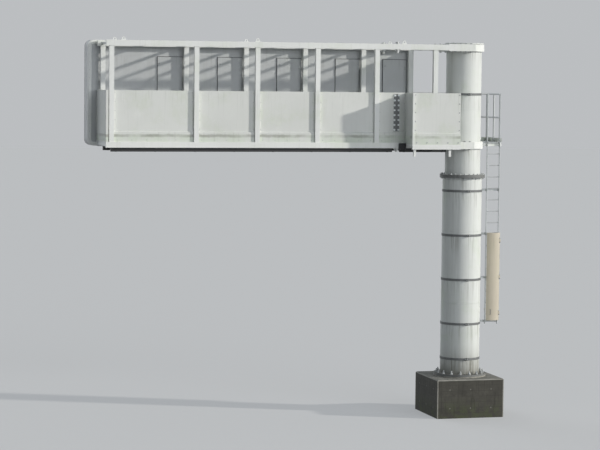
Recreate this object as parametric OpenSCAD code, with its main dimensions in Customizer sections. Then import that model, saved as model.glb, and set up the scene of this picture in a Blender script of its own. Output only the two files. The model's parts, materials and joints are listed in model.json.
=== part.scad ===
// Overhead sign gantry: one round column, a walkway boom and a long sign housing.
// Millimetres, +Z up. Origin: middle of the plinth's underside, on the column's axis.
// -X runs along the boom, -Y is the maintenance side, +Y is the display side.

/* [Plinth] */
// Side of the square concrete plinth
plinth_w = 1800; // [1600:10:2000]
// Height of the plinth
plinth_h = 1000; // [800:10:1200]
// Chamfer along the plinth's top edges
plinth_chamfer = 25; // [10:1:40]
// Thickness of the grout bed under the base plate
grout_t = 30; // [20:1:50]
// How far the grout bed and the base plate stand out from the column
base_rim = 170; // [120:5:230]
// Thickness of the base plate
base_plate_t = 50; // [35:1:70]

/* [Column] */
// Outside diameter of the lower column tube
column_d = 1016; // [960:1:1060]
// Wall of the lower column tube
column_wall = 16; // [10:1:25]
// Outside diameter of the upper column tube
mast_d = 914; // [860:1:950]
// Wall of the upper column tube
mast_wall = 12; // [8:1:20]
// Height of the bolted joint between the two tubes
joint_z = 6200; // [6100:5:6300]
// How far the joint flanges stand out from the lower tube
flange_rim = 77; // [60:1:90]
// Thickness of each joint flange
flange_t = 40; // [25:1:50]
// How far the cap plate stands out from the upper tube
cap_rim = 40; // [20:1:60]
// Thickness of the cap plate
cap_t = 25; // [15:1:40]
// How far the upper tube stands above the top collar
cap_lift = 10; // [5:1:30]

/* [Boom] */
// Height of the boom's underside
soffit_z = 6930; // [6850:10:7100]
// Height of the boom frames
boom_h = 2640; // [2550:10:2900]
// Distance from the column's axis to the boom's free end
boom_reach = 9480; // [9200:10:9700]
// Distance between the centre planes of the two frames
frame_gap = 1200; // [1180:5:1300]
// Width of a chord
chord_w = 120; // [100:5:140]
// Height of a chord
chord_h = 140; // [130:5:170]
// Wall of a chord
chord_wall = 8; // [5:1:12]
// How far the chords run past the column's axis
chord_past = 80; // [40:5:120]
// Width of a post along the boom
post_w = 120; // [90:5:140]
// Depth of a post across the boom
post_d = 100; // [80:5:110]
// Wall of a post
post_wall = 6; // [4:1:10]
// Distance from the column's axis to the first post
first_post = 980; // [940:5:1000]
// Distance between posts
bay = 1557; // [1500:1:1600]
// Number of equal bays
bay_n = 4; // [4:1:4]
// Distance from the boom's free end to the last post
end_inset = 140; // [120:5:180]

/* [Collars] */
// Thickness of the collar plates above and below the chords
collar_t = 20; // [12:1:30]
// How far the collars stand out from the column on the verge side
collar_rim = 60; // [40:5:80]
// Length of the collars along the boom
collar_reach = 640; // [600:5:700]
// Thickness of the curved plate that closes a collar on the verge side
drum_t = 12; // [8:1:20]

/* [Cable ducts] */
// Width of the ducts under the bottom chords
duct_w = 100; // [60:5:120]
// Height of the ducts
duct_h = 100; // [60:5:120]
// Wall of the ducts
duct_wall = 4; // [3:1:6]
// How far the ducts are set back from the chords' outer faces
duct_inset = 75; // [60:5:90]

/* [Walkway] */
// Side of a floor beam
beam_w = 80; // [60:5:100]
// Side of a cross bar over the walkway
cross_w = 60; // [40:5:80]
// Wall of the floor beams and cross bars
beam_wall = 5; // [3:1:8]
// Depth of the floor pans
floor_t = 30; // [20:1:40]
// Thickness of the floor pans' plate, rims and ribs
pan_t = 6; // [4:1:8]
// Distance between the ribs under a floor pan, at most
rib_pitch = 400; // [300:10:500]
// Gap between one floor plate and the next
floor_joint = 6; // [4:1:10]

/* [Parapet] */
// Height of the parapet above the chords
parapet_h = 1270; // [1150:10:1300]
// Thickness of the parapet's sheet
sheet_t = 5; // [3:1:8]
// Depth of the folded edges of a panel
fold_d = 35; // [25:1:38]
// How far the panels are set back from the posts' faces
panel_inset = 70; // [60:1:75]
// Height of the kick plate along the foot of a panel
kick_h = 240; // [150:5:300]
// How far the kick plate stands out
kick_out = 25; // [15:1:30]
// Gap between a panel and its posts
panel_gap = 8; // [4:1:12]

/* [Splice] */
// Distance from the column's axis to the bolted splice
splice_x = 2000; // [1950:5:2050]
// Thickness of each end plate
end_plate_t = 15; // [10:1:25]
// How far the end plates stand past the chords
end_plate_rim = 90; // [60:5:110]
// How far the top chords' end plates rise above them
end_plate_rise = 55; // [40:5:80]
// Thickness of the ribs behind the end plates
end_rib_t = 12; // [8:1:16]
// Width of the cover strip on the parapet
strip_w = 150; // [120:5:160]

/* [Lifting lugs] */
// Distance from the splice to the first pair of lugs
lug_step = 180; // [160:5:300]
// Distance from the last post to the last pair of lugs
lug_inset = 300; // [250:10:400]
// Width of a lug
lug_w = 120; // [100:5:140]
// Height of a lug's eye above the chord
lug_eye_z = 45; // [40:1:60]
// Thickness of a lug
lug_t = 20; // [15:1:25]
// Diameter of a lug's eye
lug_eye_d = 40; // [35:1:45]

/* [Landing bay] */
// Distance from the column's axis to the bay's near side
bay_x0 = 530; // [520:5:560]
// Length of the bay along the boom
bay_len = 1230; // [1200:5:1240]
// How far the bay stands out from the near frame
bay_out = 640; // [500:10:800]
// Side of the bay's bearers and stub legs
bearer_w = 60; // [50:5:80]
// Wall of the bay's bearers and stub legs
bearer_wall = 5; // [3:1:8]
// Distance from the bay's near side to the first bearer
bearer_step = 270; // [150:10:300]
// Height of the beam along the bay's outer edge
edge_h = 120; // [80:5:140]
// Depth of the edge beam and of the bay's post
edge_d = 45; // [35:5:60]
// Width of the bay's post
bay_post_w = 50; // [40:5:60]
// How far the stub legs reach below the boom
stub_drop = 190; // [120:5:230]

/* [Sign] */
// Width of the sign housing
sign_w = 8560; // [8400:10:8700]
// Height of the sign housing
sign_h = 2640; // [2600:10:2700]
// Depth of the sign housing
sign_d = 450; // [350:10:550]
// Radius of the sign's corners
sign_r = 150; // [100:5:200]
// Distance from the column's axis to the sign's near end
sign_x0 = 1140; // [1120:5:1150]
// Height of the sign's underside above the boom's underside
sign_lift = 10; // [5:5:40]
// Wall of the sign housing
sign_wall = 6; // [4:1:10]
// Gap between the far frame and the sign's back
sign_gap = 70; // [60:5:100]
// Width of the bezel round the display
bezel_w = 160; // [120:5:200]
// How far the bezel stands out in front of the display face
bezel_out = 40; // [20:5:60]
// Thickness of the display face
face_t = 50; // [30:5:80]
// Number of doors in the sign's back, one beyond each far post
door_n = 5; // [2:1:5]
// Width of a door
door_w = 630; // [560:5:700]
// Height of a door
door_h = 1880; // [1800:10:1900]
// Thickness of a door
door_t = 25; // [15:1:35]
// Distance from a far post to the middle of the door beyond it
door_step = 400; // [380:5:450]
// Distance from the sign's top to the doors' tops
door_top = 400; // [380:5:420]

/* [Ladder] */
// Distance from the column's axis to the ladder's middle
ladder_x = 920; // [900:5:950]
// Distance between the stiles' centres
ladder_w = 340; // [320:5:360]
// Distance of the ladder's plane behind the column's axis
ladder_y = 200; // [190:5:210]
// Depth of a stile
stile_d = 60; // [50:5:65]
// Thickness of a stile
stile_t = 12; // [10:1:14]
// Height of the stiles' lower ends
ladder_foot = 2300; // [2250:5:2330]
// Diameter of a rung
rung_d = 22; // [20:1:28]
// Distance between rungs
rung_pitch = 300; // [300:1:300]
// Height of the lowest band on the column
low_band_z = 1470; // [1300:10:1600]
// Height of the lowest band that carries the ladder
band_z = 2380; // [2360:5:2400]
// Distance between the ladder's bands, which stop below the joint flanges
band_pitch = 1147; // [1100:1:1160]
// Height of a band
band_h = 60; // [40:5:80]
// Thickness of a band
band_t = 10; // [6:1:14]

/* [Ladder guard] */
// Height of the guard above the stiles' lower ends
guard_lift = 100; // [80:5:120]
// Height of the guard
guard_h = 2300; // [2200:10:2350]
// Width of the guard
guard_w = 360; // [340:5:370]
// Sheet of the guard
guard_t = 4; // [3:1:6]
// How far the guard bows out in the middle
guard_bow = 50; // [35:5:60]
// Diameter of the hinge pins
pin_d = 20; // [16:1:24]
// Outside diameter of the hinge knuckles
knuckle_d = 36; // [32:1:40]
// Length of a hinge knuckle
knuckle_l = 80; // [60:5:100]
// Running clearance round a hinge pin
pin_gap = 0.3; // [0.2:0.1:0.4]
// Depth of the returns along the guard's upper and lower edges
guard_return = 12; // [8:1:14]
// Height of the padlock lugs above the guard's lower edge
lock_lift = 300; // [200:10:400]
// Gap between the guard's padlock lug and the stile's
lock_gap = 6; // [6:1:10]
// Thickness of the padlock lugs
lock_t = 8; // [6:1:10]
// Diameter of the padlock's hole
lock_eye_d = 14; // [12:1:16]

/* [Access landing] */
// Width of the landing behind the column
landing_w = 640; // [600:10:700]
// How far the landing reaches past the column's axis
landing_x1 = 1150; // [1140:5:1200]
// Diameter of the rails and their posts
rail_d = 42; // [34:1:50]
// Height of the toe board
toe_h = 100; // [80:5:150]
// Web and flanges of the landing's channels
channel_t = 8; // [6:1:10]

/* [Hidden] */
$fn = 96;

// Clearance between a ring and the tube it is fixed on
seat_gap = 0.3;
// How far a cutting shape runs past the face it cuts
past = 1;

column_r = column_d / 2;
mast_r = mast_d / 2;
base_z = plinth_h + grout_t;
column_z0 = base_z + base_plate_t;
mast_z0 = joint_z + flange_t;
top_z = soffit_z + boom_h;
floor_z = soffit_z + chord_h;
top_chord_z = top_z - chord_h;
cap_z = top_z + collar_t + cap_lift;
parapet_z = floor_z + parapet_h;
frame_y = frame_gap / 2;
chord_out = frame_y + chord_w / 2;
chord_in = frame_y - chord_w / 2;
post_x = concat([for (i = [0:bay_n]) -first_post - i * bay], [-boom_reach + end_inset]);
far_post_x = concat([-sign_x0 - post_w], [for (i = [1:len(post_x) - 1]) post_x[i]]);
panel_y = -frame_y - post_d / 2 + panel_inset;
bay_x1 = bay_x0 + bay_len;
bay_y = -chord_out - bay_out;
sign_x1 = sign_x0 + sign_w;
sign_y = frame_y + post_d / 2 + sign_gap;
sign_z = soffit_z + sign_lift;
door_z = sign_z + sign_h - door_top - door_h;
stile_x = [ladder_x - ladder_w / 2, ladder_x + ladder_w / 2];
landing_y0 = ladder_y + stile_d / 2;
landing_y1 = chord_out + landing_w;
landing_x0 = -sign_x0 + 30;
landing_in = column_r + 60;
guard_z = ladder_foot + guard_lift;
hinge_x = stile_x[1] + stile_t / 2 + knuckle_d / 2 + 6;
hinge_y = ladder_y - stile_d / 2 - knuckle_d / 2 - 6;
lock_x = stile_x[0] - stile_t / 2 - 25;
lock_y = hinge_y - 8;
lock_z = guard_z + lock_lift;
lug_x = [-splice_x + lug_step, post_x[3], post_x[5] + lug_inset];

// Box between two opposite corners
module span_box(a, b) {
    translate(a) cube(b - a);
}

// Rectangular tube between two corners, hollow along one axis (0 = X, 1 = Y, 2 = Z)
module box_tube(a, b, wall, axis) {
    inset = [for (i = [0:2]) i == axis ? -past : wall];
    difference() {
        span_box(a, b);
        span_box(a + inset, b - inset);
    }
}

// Hollow box closed on all sides
module closed_box(a, b, wall) {
    inset = [wall, wall, wall];
    difference() {
        span_box(a, b);
        span_box(a + inset, b - inset);
    }
}

// Round tube standing on z0
module round_tube(z0, z1, d, wall) {
    translate([0, 0, z0]) linear_extrude(z1 - z0) difference() {
        circle(d = d);
        circle(d = d - 2 * wall);
    }
}

// Ring plate standing on z0
module ring_plate(z0, t, d_out, d_in) {
    round_tube(z0, z0 + t, d_out, (d_out - d_in) / 2);
}

// Profile in Y and Z, extruded along X from x0 to x1
module along_x(x0, x1) {
    translate([x0, 0, 0]) rotate([90, 0, 90]) linear_extrude(x1 - x0) children();
}

// Outline of one folded parapet sheet, face at y = 0, foot at z = 0
module panel_profile(h) {
    polygon([
        [-kick_out, 0], [fold_d - sheet_t, 0], [fold_d - sheet_t, sheet_t],
        [-kick_out + sheet_t, sheet_t], [-kick_out + sheet_t, kick_h - sheet_t],
        [sheet_t, kick_h - sheet_t + kick_out], [sheet_t, h - sheet_t],
        [fold_d - sheet_t, h - sheet_t], [fold_d - sheet_t, h - fold_d / 2],
        [fold_d, h - fold_d / 2], [fold_d, h], [0, h],
        [0, kick_h + kick_out], [-kick_out, kick_h]
    ]);
}

// The plinth: a square block with chamfered top edges
module plinth() {
    color("#8f8c80") {
        translate([-plinth_w / 2, -plinth_w / 2, 0])
            cube([plinth_w, plinth_w, plinth_h - plinth_chamfer]);
        intersection() {
            translate([-plinth_w / 2, -plinth_w / 2, plinth_h - plinth_chamfer])
                cube([plinth_w, plinth_w, plinth_chamfer]);
            chamfer_prism(0);
            chamfer_prism(90);
        }
    }
}

// Long prism whose upper edges are chamfered, turned about Z
module chamfer_prism(turn) {
    half = plinth_w / 2;
    rotate([0, 0, turn]) along_x(-half - past, half + past) polygon([
        [-half, 0], [half, 0], [half, plinth_h - plinth_chamfer],
        [half - plinth_chamfer, plinth_h], [-half + plinth_chamfer, plinth_h],
        [-half, plinth_h - plinth_chamfer]
    ]);
}

module grout_bed() {
    color("#a5a196") translate([0, 0, plinth_h]) cylinder(h = grout_t, r = column_r + base_rim);
}

module base_plate() {
    color("#b9bcb8") translate([0, 0, base_z])
        cylinder(h = base_plate_t, r = column_r + base_rim);
}

module lower_column() {
    color("#d7dad4") round_tube(column_z0, joint_z - flange_t, column_d, column_wall);
}

module lower_flange() {
    color("#c9ccc6") ring_plate(joint_z - flange_t, flange_t, column_d + 2 * flange_rim,
        column_d - 2 * column_wall - 2 * flange_rim);
}

module upper_flange() {
    color("#c9ccc6") ring_plate(joint_z, flange_t, column_d + 2 * flange_rim,
        mast_d - 2 * mast_wall - 2 * flange_rim);
}

module upper_column() {
    color("#dfe2dc") round_tube(mast_z0, cap_z, mast_d, mast_wall);
}

module column_cap() {
    color("#e8eae5") translate([0, 0, cap_z]) cylinder(h = cap_t, r = mast_r + cap_rim);
}

// One collar plate: a ring on the column and a table that the chords bolt to
module collar_plate(z0) {
    translate([0, 0, z0]) linear_extrude(collar_t) difference() {
        union() {
            circle(r = mast_r + collar_rim);
            translate([-collar_reach, -chord_out]) square([collar_reach + chord_past, 2 * chord_out]);
        }
        circle(r = mast_r + seat_gap);
    }
}

// Two plates over and under the chords, with webs and a curved plate between them
module collar(z0) {
    turn = 80;
    lip = 4;
    color("#c4c7c1") {
        collar_plate(z0 - collar_t);
        collar_plate(z0 + chord_h);
        for (side = [-1, 1])
            translate([-collar_reach + 60, side * (chord_in - 60), z0 + chord_h / 2])
                cube([collar_t, 110, chord_h + 2], center = true);
        rotate([0, 0, -turn]) rotate_extrude(angle = 2 * turn)
            translate([mast_r + collar_rim - lip - drum_t, z0 - past])
                square([drum_t, chord_h + 2 * past]);
    }
}

module bottom_collar() {
    collar(soffit_z);
}

module top_collar() {
    collar(top_chord_z);
}

// Heights of the bands that carry the ladder, as many as fit below the joint flanges
function ladder_band_z() =
    [for (z = [band_z : band_pitch : joint_z - flange_t - 2 * band_h]) z];

// A clamp band: a ring with a pair of bolting ears on either side
module clamp_band(z0, d) {
    ear_out = 45;
    ear_gap = 8;
    inner = d + 2 * seat_gap;
    ring_plate(z0, band_h, inner + 2 * band_t, inner);
    for (side = [-1, 1], step = [-1, 1])
        translate([step * (ear_gap + band_t) / 2, side * (inner / 2 + (band_t + ear_out) / 2), z0])
            translate([-band_t / 2, -ear_out / 2, 0]) cube([band_t, ear_out, band_h]);
}

module column_bands() {
    color("#8d908c") {
        for (z = concat([low_band_z], ladder_band_z())) clamp_band(z - band_h / 2, column_d);
        clamp_band(parapet_z - band_h, mast_d);
    }
}

// One chord in two lengths, which meet at the bolted splice; side is -1 near, 1 far
module chord(side, z0) {
    y0 = side * frame_y - chord_w / 2;
    cut = splice_x + end_plate_t;
    color("#e4e6e1") {
        box_tube([-splice_x + end_plate_t, y0, z0], [chord_past, y0 + chord_w, z0 + chord_h],
            chord_wall, 0);
        difference() {
            span_box([-boom_reach, y0, z0], [-cut, y0 + chord_w, z0 + chord_h]);
            span_box([-boom_reach + chord_wall, y0 + chord_wall, z0 + chord_wall],
                [-cut + past, y0 + chord_w - chord_wall, z0 + chord_h - chord_wall]);
        }
    }
}

module near_top_chord() { chord(-1, top_chord_z); }
module near_bottom_chord() { chord(-1, soffit_z); }
module far_top_chord() { chord(1, top_chord_z); }
module far_bottom_chord() { chord(1, soffit_z); }

// A row of posts between the chords of one frame
module posts(side, places) {
    color("#eceeea") for (x = places)
        box_tube([x - post_w / 2, side * frame_y - post_d / 2, floor_z],
            [x + post_w / 2, side * frame_y + post_d / 2, top_chord_z], post_wall, 2);
}

module near_posts() { posts(-1, post_x); }
module far_posts() { posts(1, far_post_x); }

// Places of the cross members: at each post and halfway between
function cross_x() = concat(
    [for (i = [0:len(post_x) - 1]) post_x[i]],
    [for (i = [0:len(post_x) - 2]) (post_x[i] + post_x[i + 1]) / 2]);

// Places of the floor beams: the cross members' places and both ends of the floor
function beam_x() = concat(cross_x(),
    [-collar_reach - floor_joint - beam_w / 2, -boom_reach + sheet_t + beam_w / 2]);

module cross_bars() {
    color("#dcdfd9") for (x = cross_x())
        box_tube([x - cross_w / 2, -chord_in, top_chord_z + chord_h / 2 - cross_w / 2],
            [x + cross_w / 2, chord_in, top_chord_z + chord_h / 2 + cross_w / 2], beam_wall, 1);
}

module floor_beams() {
    color("#7d807c") for (x = beam_x())
        box_tube([x - beam_w / 2, -chord_in, floor_z - floor_t - beam_w],
            [x + beam_w / 2, chord_in, floor_z - floor_t], beam_wall, 1);
}

// Ends of the floor plates, from the column out to the free end
function floor_ends() = concat([-collar_reach - floor_joint],
    [for (i = [0:bay_n]) post_x[i]], [-boom_reach + sheet_t - floor_joint / 2]);

// One floor pan: a plate with a rim and cross ribs folded down from it
module floor_pan(x0, x1, y0, y1) {
    cells = max(1, ceil((x1 - x0) / rib_pitch));
    pitch = (x1 - x0 - pan_t) / cells;
    difference() {
        span_box([x0, y0, floor_z - floor_t], [x1, y1, floor_z]);
        for (i = [0:cells - 1])
            span_box([x0 + pan_t + i * pitch, y0 + pan_t, floor_z - floor_t - past],
                [x0 + (i + 1) * pitch, y1 - pan_t, floor_z - pan_t]);
    }
}

module walkway_floor() {
    ends = floor_ends();
    color("#9a9d99") for (i = [1:len(ends) - 1])
        floor_pan(ends[i] + floor_joint / 2, ends[i - 1] - floor_joint / 2,
            -chord_in + floor_joint, chord_in - floor_joint);
}

// Closed ducts under the bottom chords, on either side of the splice
module cable_ducts() {
    clear = end_plate_t + end_plate_rim;
    color("#3a3c3c") for (side = [-1, 1]) {
        y = side * (chord_out - duct_inset - duct_w / 2);
        for (run = [[-boom_reach + end_inset, -splice_x - clear],
                [-splice_x + clear, -collar_reach - 2 * floor_joint]])
            closed_box([run[0], y - duct_w / 2, soffit_z - duct_h],
                [run[1], y + duct_w / 2, soffit_z], duct_wall);
    }
}

// End plates of all four chords, from x0 to x1, with a rib on the side that way points to
module end_plates(x0, x1, way) {
    foot = way > 0 ? x1 - past : x0 + past;
    rib = end_plate_rim - 20;
    upper_rib = end_plate_rise - 10;
    color("#c4c7c1") for (side = [-1, 1], z = [soffit_z, top_chord_z]) {
        y0 = side * frame_y - chord_w / 2;
        rise = z == top_chord_z ? end_plate_rise : 0;
        span_box([x0, y0, z - end_plate_rim], [x1, y0 + chord_w, z + chord_h + rise]);
        along_y(side * frame_y - end_rib_t / 2, side * frame_y + end_rib_t / 2) {
            polygon([[foot, z], [foot + way * rib, z], [foot + way * rib, z - 10],
                [foot + way * 10, z - rib], [foot, z - rib]]);
            if (rise > 0)
                translate([foot, z + chord_h]) polygon([[0, 0], [way * upper_rib, 0],
                    [way * upper_rib, 10], [way * 10, upper_rib], [0, upper_rib]]);
        }
    }
}

module boom_end_plates() { end_plates(-splice_x - end_plate_t, -splice_x - seat_gap, -1); }
module stub_end_plates() { end_plates(-splice_x, -splice_x + end_plate_t, 1); }

// One parapet panel between x0 and x1
module parapet_panel(x0, x1) {
    color("#d7dad5") translate([0, panel_y, floor_z]) along_x(x0, x1) panel_profile(parapet_h);
}

// Panel between two posts, numbered from the free end
module post_panel(n) {
    i = len(post_x) - n;
    parapet_panel(post_x[i] + post_w / 2 + panel_gap, post_x[i - 1] - post_w / 2 - panel_gap);
}

module parapet_panel_1() { post_panel(1); }
module parapet_panel_2() { post_panel(2); }
module parapet_panel_3() { post_panel(3); }
module parapet_panel_4() { post_panel(4); }
module parapet_panel_5() {
    parapet_panel(post_x[1] + post_w / 2 + panel_gap, -bay_x1 - panel_gap);
}

module splice_strip() {
    color("#b7bbb8") span_box(
        [-splice_x - strip_w / 2, panel_y - sheet_t - seat_gap, floor_z + kick_h + kick_out + 20],
        [-splice_x + strip_w / 2, panel_y - seat_gap, parapet_z - fold_d]);
}

// Closes the walkway at the free end
module end_parapet() {
    color("#d7dad5") translate([-boom_reach, 0, floor_z]) {
        span_box([0, -chord_out, 0], [sheet_t, chord_out, parapet_h]);
        span_box([0, -chord_out, 0], [60, -chord_out + sheet_t, parapet_h]);
        span_box([0, chord_out - sheet_t, 0], [60, chord_out, parapet_h]);
        span_box([0, -chord_out, parapet_h - sheet_t], [60, chord_out, parapet_h]);
    }
}

// Lifting lugs on the top chords: a plate with an eye
module lifting_lugs() {
    head_r = lug_w * 0.35;
    color("#e4e6e1") for (x = lug_x, side = [-1, 1])
        translate([x, side * frame_y + lug_t / 2, top_z]) rotate([90, 0, 0])
            linear_extrude(lug_t) difference() {
                union() {
                    polygon([[-lug_w / 2, 0], [lug_w / 2, 0], [lug_w / 2, 12],
                        [head_r, lug_eye_z], [-head_r, lug_eye_z], [-lug_w / 2, 12]]);
                    translate([0, lug_eye_z]) circle(r = head_r);
                }
                translate([0, lug_eye_z]) circle(d = lug_eye_d);
            }
}

// Two cantilever bearers under the landing bay, each with a stub leg
module bay_bearers() {
    legs = [-bay_x1 + bearer_w / 2, -bay_x0 - bearer_step];
    z1 = floor_z - floor_t;
    z0 = z1 - bearer_w;
    color("#e4e6e1") for (x = legs) {
        box_tube([x - bearer_w / 2, bay_y, z0], [x + bearer_w / 2, -chord_out, z1], bearer_wall, 1);
        box_tube([x - bearer_w / 2, bay_y, soffit_z - stub_drop],
            [x + bearer_w / 2, bay_y + bearer_w, z0 + bearer_wall], bearer_wall, 2);
    }
}

// Beam along the bay's outer edge, in front of the bearers
module bay_edge_beam() {
    z1 = floor_z - floor_t;
    color("#e4e6e1") closed_box([-bay_x1, bay_y - edge_d, z1 - edge_h], [-bay_x0, bay_y, z1],
        bearer_wall);
}

// Post at the bay's corner towards the free end
module bay_post() {
    color("#eceeea") closed_box([-bay_x1 - bay_post_w, bay_y - edge_d, floor_z - floor_t - edge_h],
        [-bay_x1, bay_y + edge_d / 3, parapet_z], bearer_wall);
}

module bay_floor() {
    color("#9a9d99") floor_pan(-bay_x1 + sheet_t + seat_gap, -bay_x0 - sheet_t - seat_gap,
        bay_y + seat_gap, -chord_out);
}

// Rear panel of the bay, with a kick plate that stands on the edge beam
module bay_rear_panel() {
    s = sheet_t;
    k = kick_out;
    h = parapet_h;
    foot = -floor_t;
    color("#d7dad5") translate([0, bay_y, floor_z]) along_x(-bay_x1, -bay_x0) polygon([
        [-s - k, foot], [-s - k, kick_h], [-s, kick_h + k], [-s, h], [fold_d, h],
        [fold_d, h - s], [0, h - s], [0, kick_h + k - s], [-k, kick_h - s], [-k, foot + s],
        [0, foot + s], [0, foot]
    ]);
}

// Side panels of the bay, folded along the top, that reach over the chord to the parapet
module bay_side_panels() {
    s = sheet_t;
    h = parapet_h - sheet_t;
    over = collar_t + seat_gap;
    color("#d7dad5") for (side = [[-bay_x1, 1], [-bay_x0, -1]]) {
        translate([0, bay_y + seat_gap, floor_z - floor_t])
            span_box([min(side[0], side[0] + side[1] * s), 0, 0],
                [max(side[0], side[0] + side[1] * s), -chord_out - bay_y - seat_gap,
                    floor_t + over + past]);
        along_y(bay_y + seat_gap, panel_y + fold_d) translate([side[0], floor_z]) polygon([
            [0, over], [side[1] * s, over], [side[1] * s, h - s],
            [side[1] * fold_d, h - s], [side[1] * fold_d, h], [0, h]
        ]);
    }
}

// Outline of the sign in X and Z, shrunk by inset on each side
module sign_outline(inset) {
    r = sign_r - inset;
    translate([-sign_x1 + inset, sign_z + inset]) {
        w = sign_w - 2 * inset;
        h = sign_h - 2 * inset;
        translate([r, 0]) square([w - 2 * r, h]);
        translate([0, r]) square([w, h - 2 * r]);
        for (x = [r, w - r], z = [r, h - r]) translate([x, z]) circle(r = r);
    }
}

// Shape in X and Z, extruded along Y from y0 to y1
module along_y(y0, y1) {
    translate([0, y1, 0]) rotate([90, 0, 0]) linear_extrude(y1 - y0) children();
}

// Openings in the sign's back, one behind each door
module door_places(inset) {
    for (i = [0:door_n - 1])
        translate([far_post_x[i] - door_step - door_w / 2 + inset, door_z + inset])
            square([door_w - 2 * inset, door_h - 2 * inset]);
}

module sign_housing() {
    lap = 30;
    color("#8f9496") {
        along_y(sign_y, sign_y + sign_wall) difference() {
            sign_outline(0);
            door_places(lap);
        }
        along_y(sign_y + sign_wall - past, sign_y + sign_d) difference() {
            sign_outline(0);
            sign_outline(sign_wall);
        }
    }
}

module sign_doors() {
    color("#85898b") along_y(sign_y - door_t, sign_y) door_places(0);
}

module sign_face() {
    color("#1b1c1e") along_y(sign_y + sign_d - face_t, sign_y + sign_d)
        sign_outline(sign_wall + seat_gap);
}

module sign_bezel() {
    color("#2c2e31") along_y(sign_y + sign_d, sign_y + sign_d + bezel_out) difference() {
        sign_outline(0);
        sign_outline(bezel_w - 30);
    }
}

// Angle cleats from the far posts to the sign's back
module sign_brackets() {
    cleat = 90;
    levels = [floor_z + 250, floor_z + parapet_h - 100, sign_z + sign_h - 300];
    color("#e4e6e1") for (x = far_post_x, z = levels)
        span_box([x - cleat / 2, frame_y + post_d / 2, z], [x + cleat / 2, sign_y, z + cleat]);
}

module ladder_stiles() {
    color("#c9ccc8") {
        for (x = stile_x)
            span_box([x - stile_t / 2, ladder_y - stile_d / 2, ladder_foot],
                [x + stile_t / 2, ladder_y + stile_d / 2, parapet_z]);
        lock_lug(lock_z - lock_gap - lock_t, hinge_y - 8, ladder_y, stile_x[0] - stile_t / 2 + past);
    }
}

module ladder_rungs() {
    color("#b9bcb8") for (z = [floor_z - rung_d / 2 : -rung_pitch : ladder_foot + 60])
        translate([stile_x[0] + stile_t / 2, ladder_y, z]) rotate([0, 90, 0])
            cylinder(h = ladder_w - stile_t, d = rung_d, $fn = 24);
}

// At each band, two arms from the column to the stiles
module ladder_brackets() {
    arm_t = 12;
    reach = column_r + band_t + seat_gap;
    arm_y = [ladder_y + stile_d / 2, ladder_y + stile_d / 2 + arm_t];
    start = sqrt(reach * reach - arm_y[0] * arm_y[0]) + 1;
    color("#b9bcb8") for (z = ladder_band_z())
        span_box([start, arm_y[0], z - band_h / 2],
            [stile_x[1] + stile_t / 2, arm_y[1], z + band_h / 2]);
}

// Heights of the guard's hinges
function hinge_z() = [guard_z + 200, guard_z + guard_h / 2, guard_z + guard_h - 200];

// Fixed half of each hinge: a leaf on the stile, a lug and a pin
module guard_hinges() {
    leaf_t = 8;
    color("#8d908c") for (z = hinge_z()) {
        translate([hinge_x, hinge_y, z - knuckle_l / 2 - leaf_t - 20])
            cylinder(h = knuckle_l + leaf_t + 30, d = pin_d);
        translate([hinge_x, hinge_y, z - knuckle_l / 2 - leaf_t - 6])
            cylinder(h = leaf_t, d = knuckle_d);
        span_box([stile_x[1] + stile_t / 2, hinge_y, z - knuckle_l / 2 - leaf_t - 6],
            [hinge_x + knuckle_d / 2, ladder_y, z - knuckle_l / 2 - 6]);
    }
}

// Bowed sheet of the guard, a shallow arc seen from above, with returns along top and foot
module guard_arc() {
    half = guard_w / 2;
    r = (half * half + guard_bow * guard_bow) / (2 * guard_bow);
    x0 = hinge_x - half;
    y0 = hinge_y - guard_bow + r;
    turn = asin(half / r);
    a = r - guard_t - guard_return;
    b = r - guard_t;
    h = guard_h;
    translate([x0, y0, guard_z]) rotate([0, 0, -90 - turn])
        rotate_extrude(angle = 2 * turn, $fn = 180) polygon([
            [a, 0], [r, 0], [r, h], [a, h], [a, h - guard_t], [b, h - guard_t],
            [b, guard_t], [a, guard_t]
        ]);
}

// Padlock lug: a flat plate with an eye, as wide as y0 to y1 where it is rooted at root_x
module lock_lug(z0, y0, y1, root_x) {
    translate([0, 0, z0]) linear_extrude(lock_t) difference() {
        union() {
            translate([lock_x, lock_y]) circle(d = 3 * lock_eye_d);
            translate([lock_x, y0]) square([root_x - lock_x, y1 - y0]);
        }
        translate([lock_x, lock_y]) circle(d = lock_eye_d);
    }
}

module ladder_guard() {
    color("#c9c5b2") {
        lock_lug(lock_z, hinge_y - 24, hinge_y, hinge_x - guard_w + 30);
        difference() {
            guard_arc();
            for (z = hinge_z()) translate([hinge_x, hinge_y, z])
                cylinder(h = knuckle_l + 60, d = knuckle_d + 10, center = true);
        }
        for (z = hinge_z()) difference() {
            union() {
                translate([hinge_x, hinge_y, z]) cylinder(h = knuckle_l, d = knuckle_d, center = true);
                translate([hinge_x - knuckle_d, hinge_y - 14, z])
                    cube([knuckle_d * 1.6, 6, knuckle_l], center = true);
            }
            translate([hinge_x, hinge_y, z])
                cylinder(h = knuckle_l + 2, d = pin_d + 2 * pin_gap, center = true);
        }
    }
}

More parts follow.
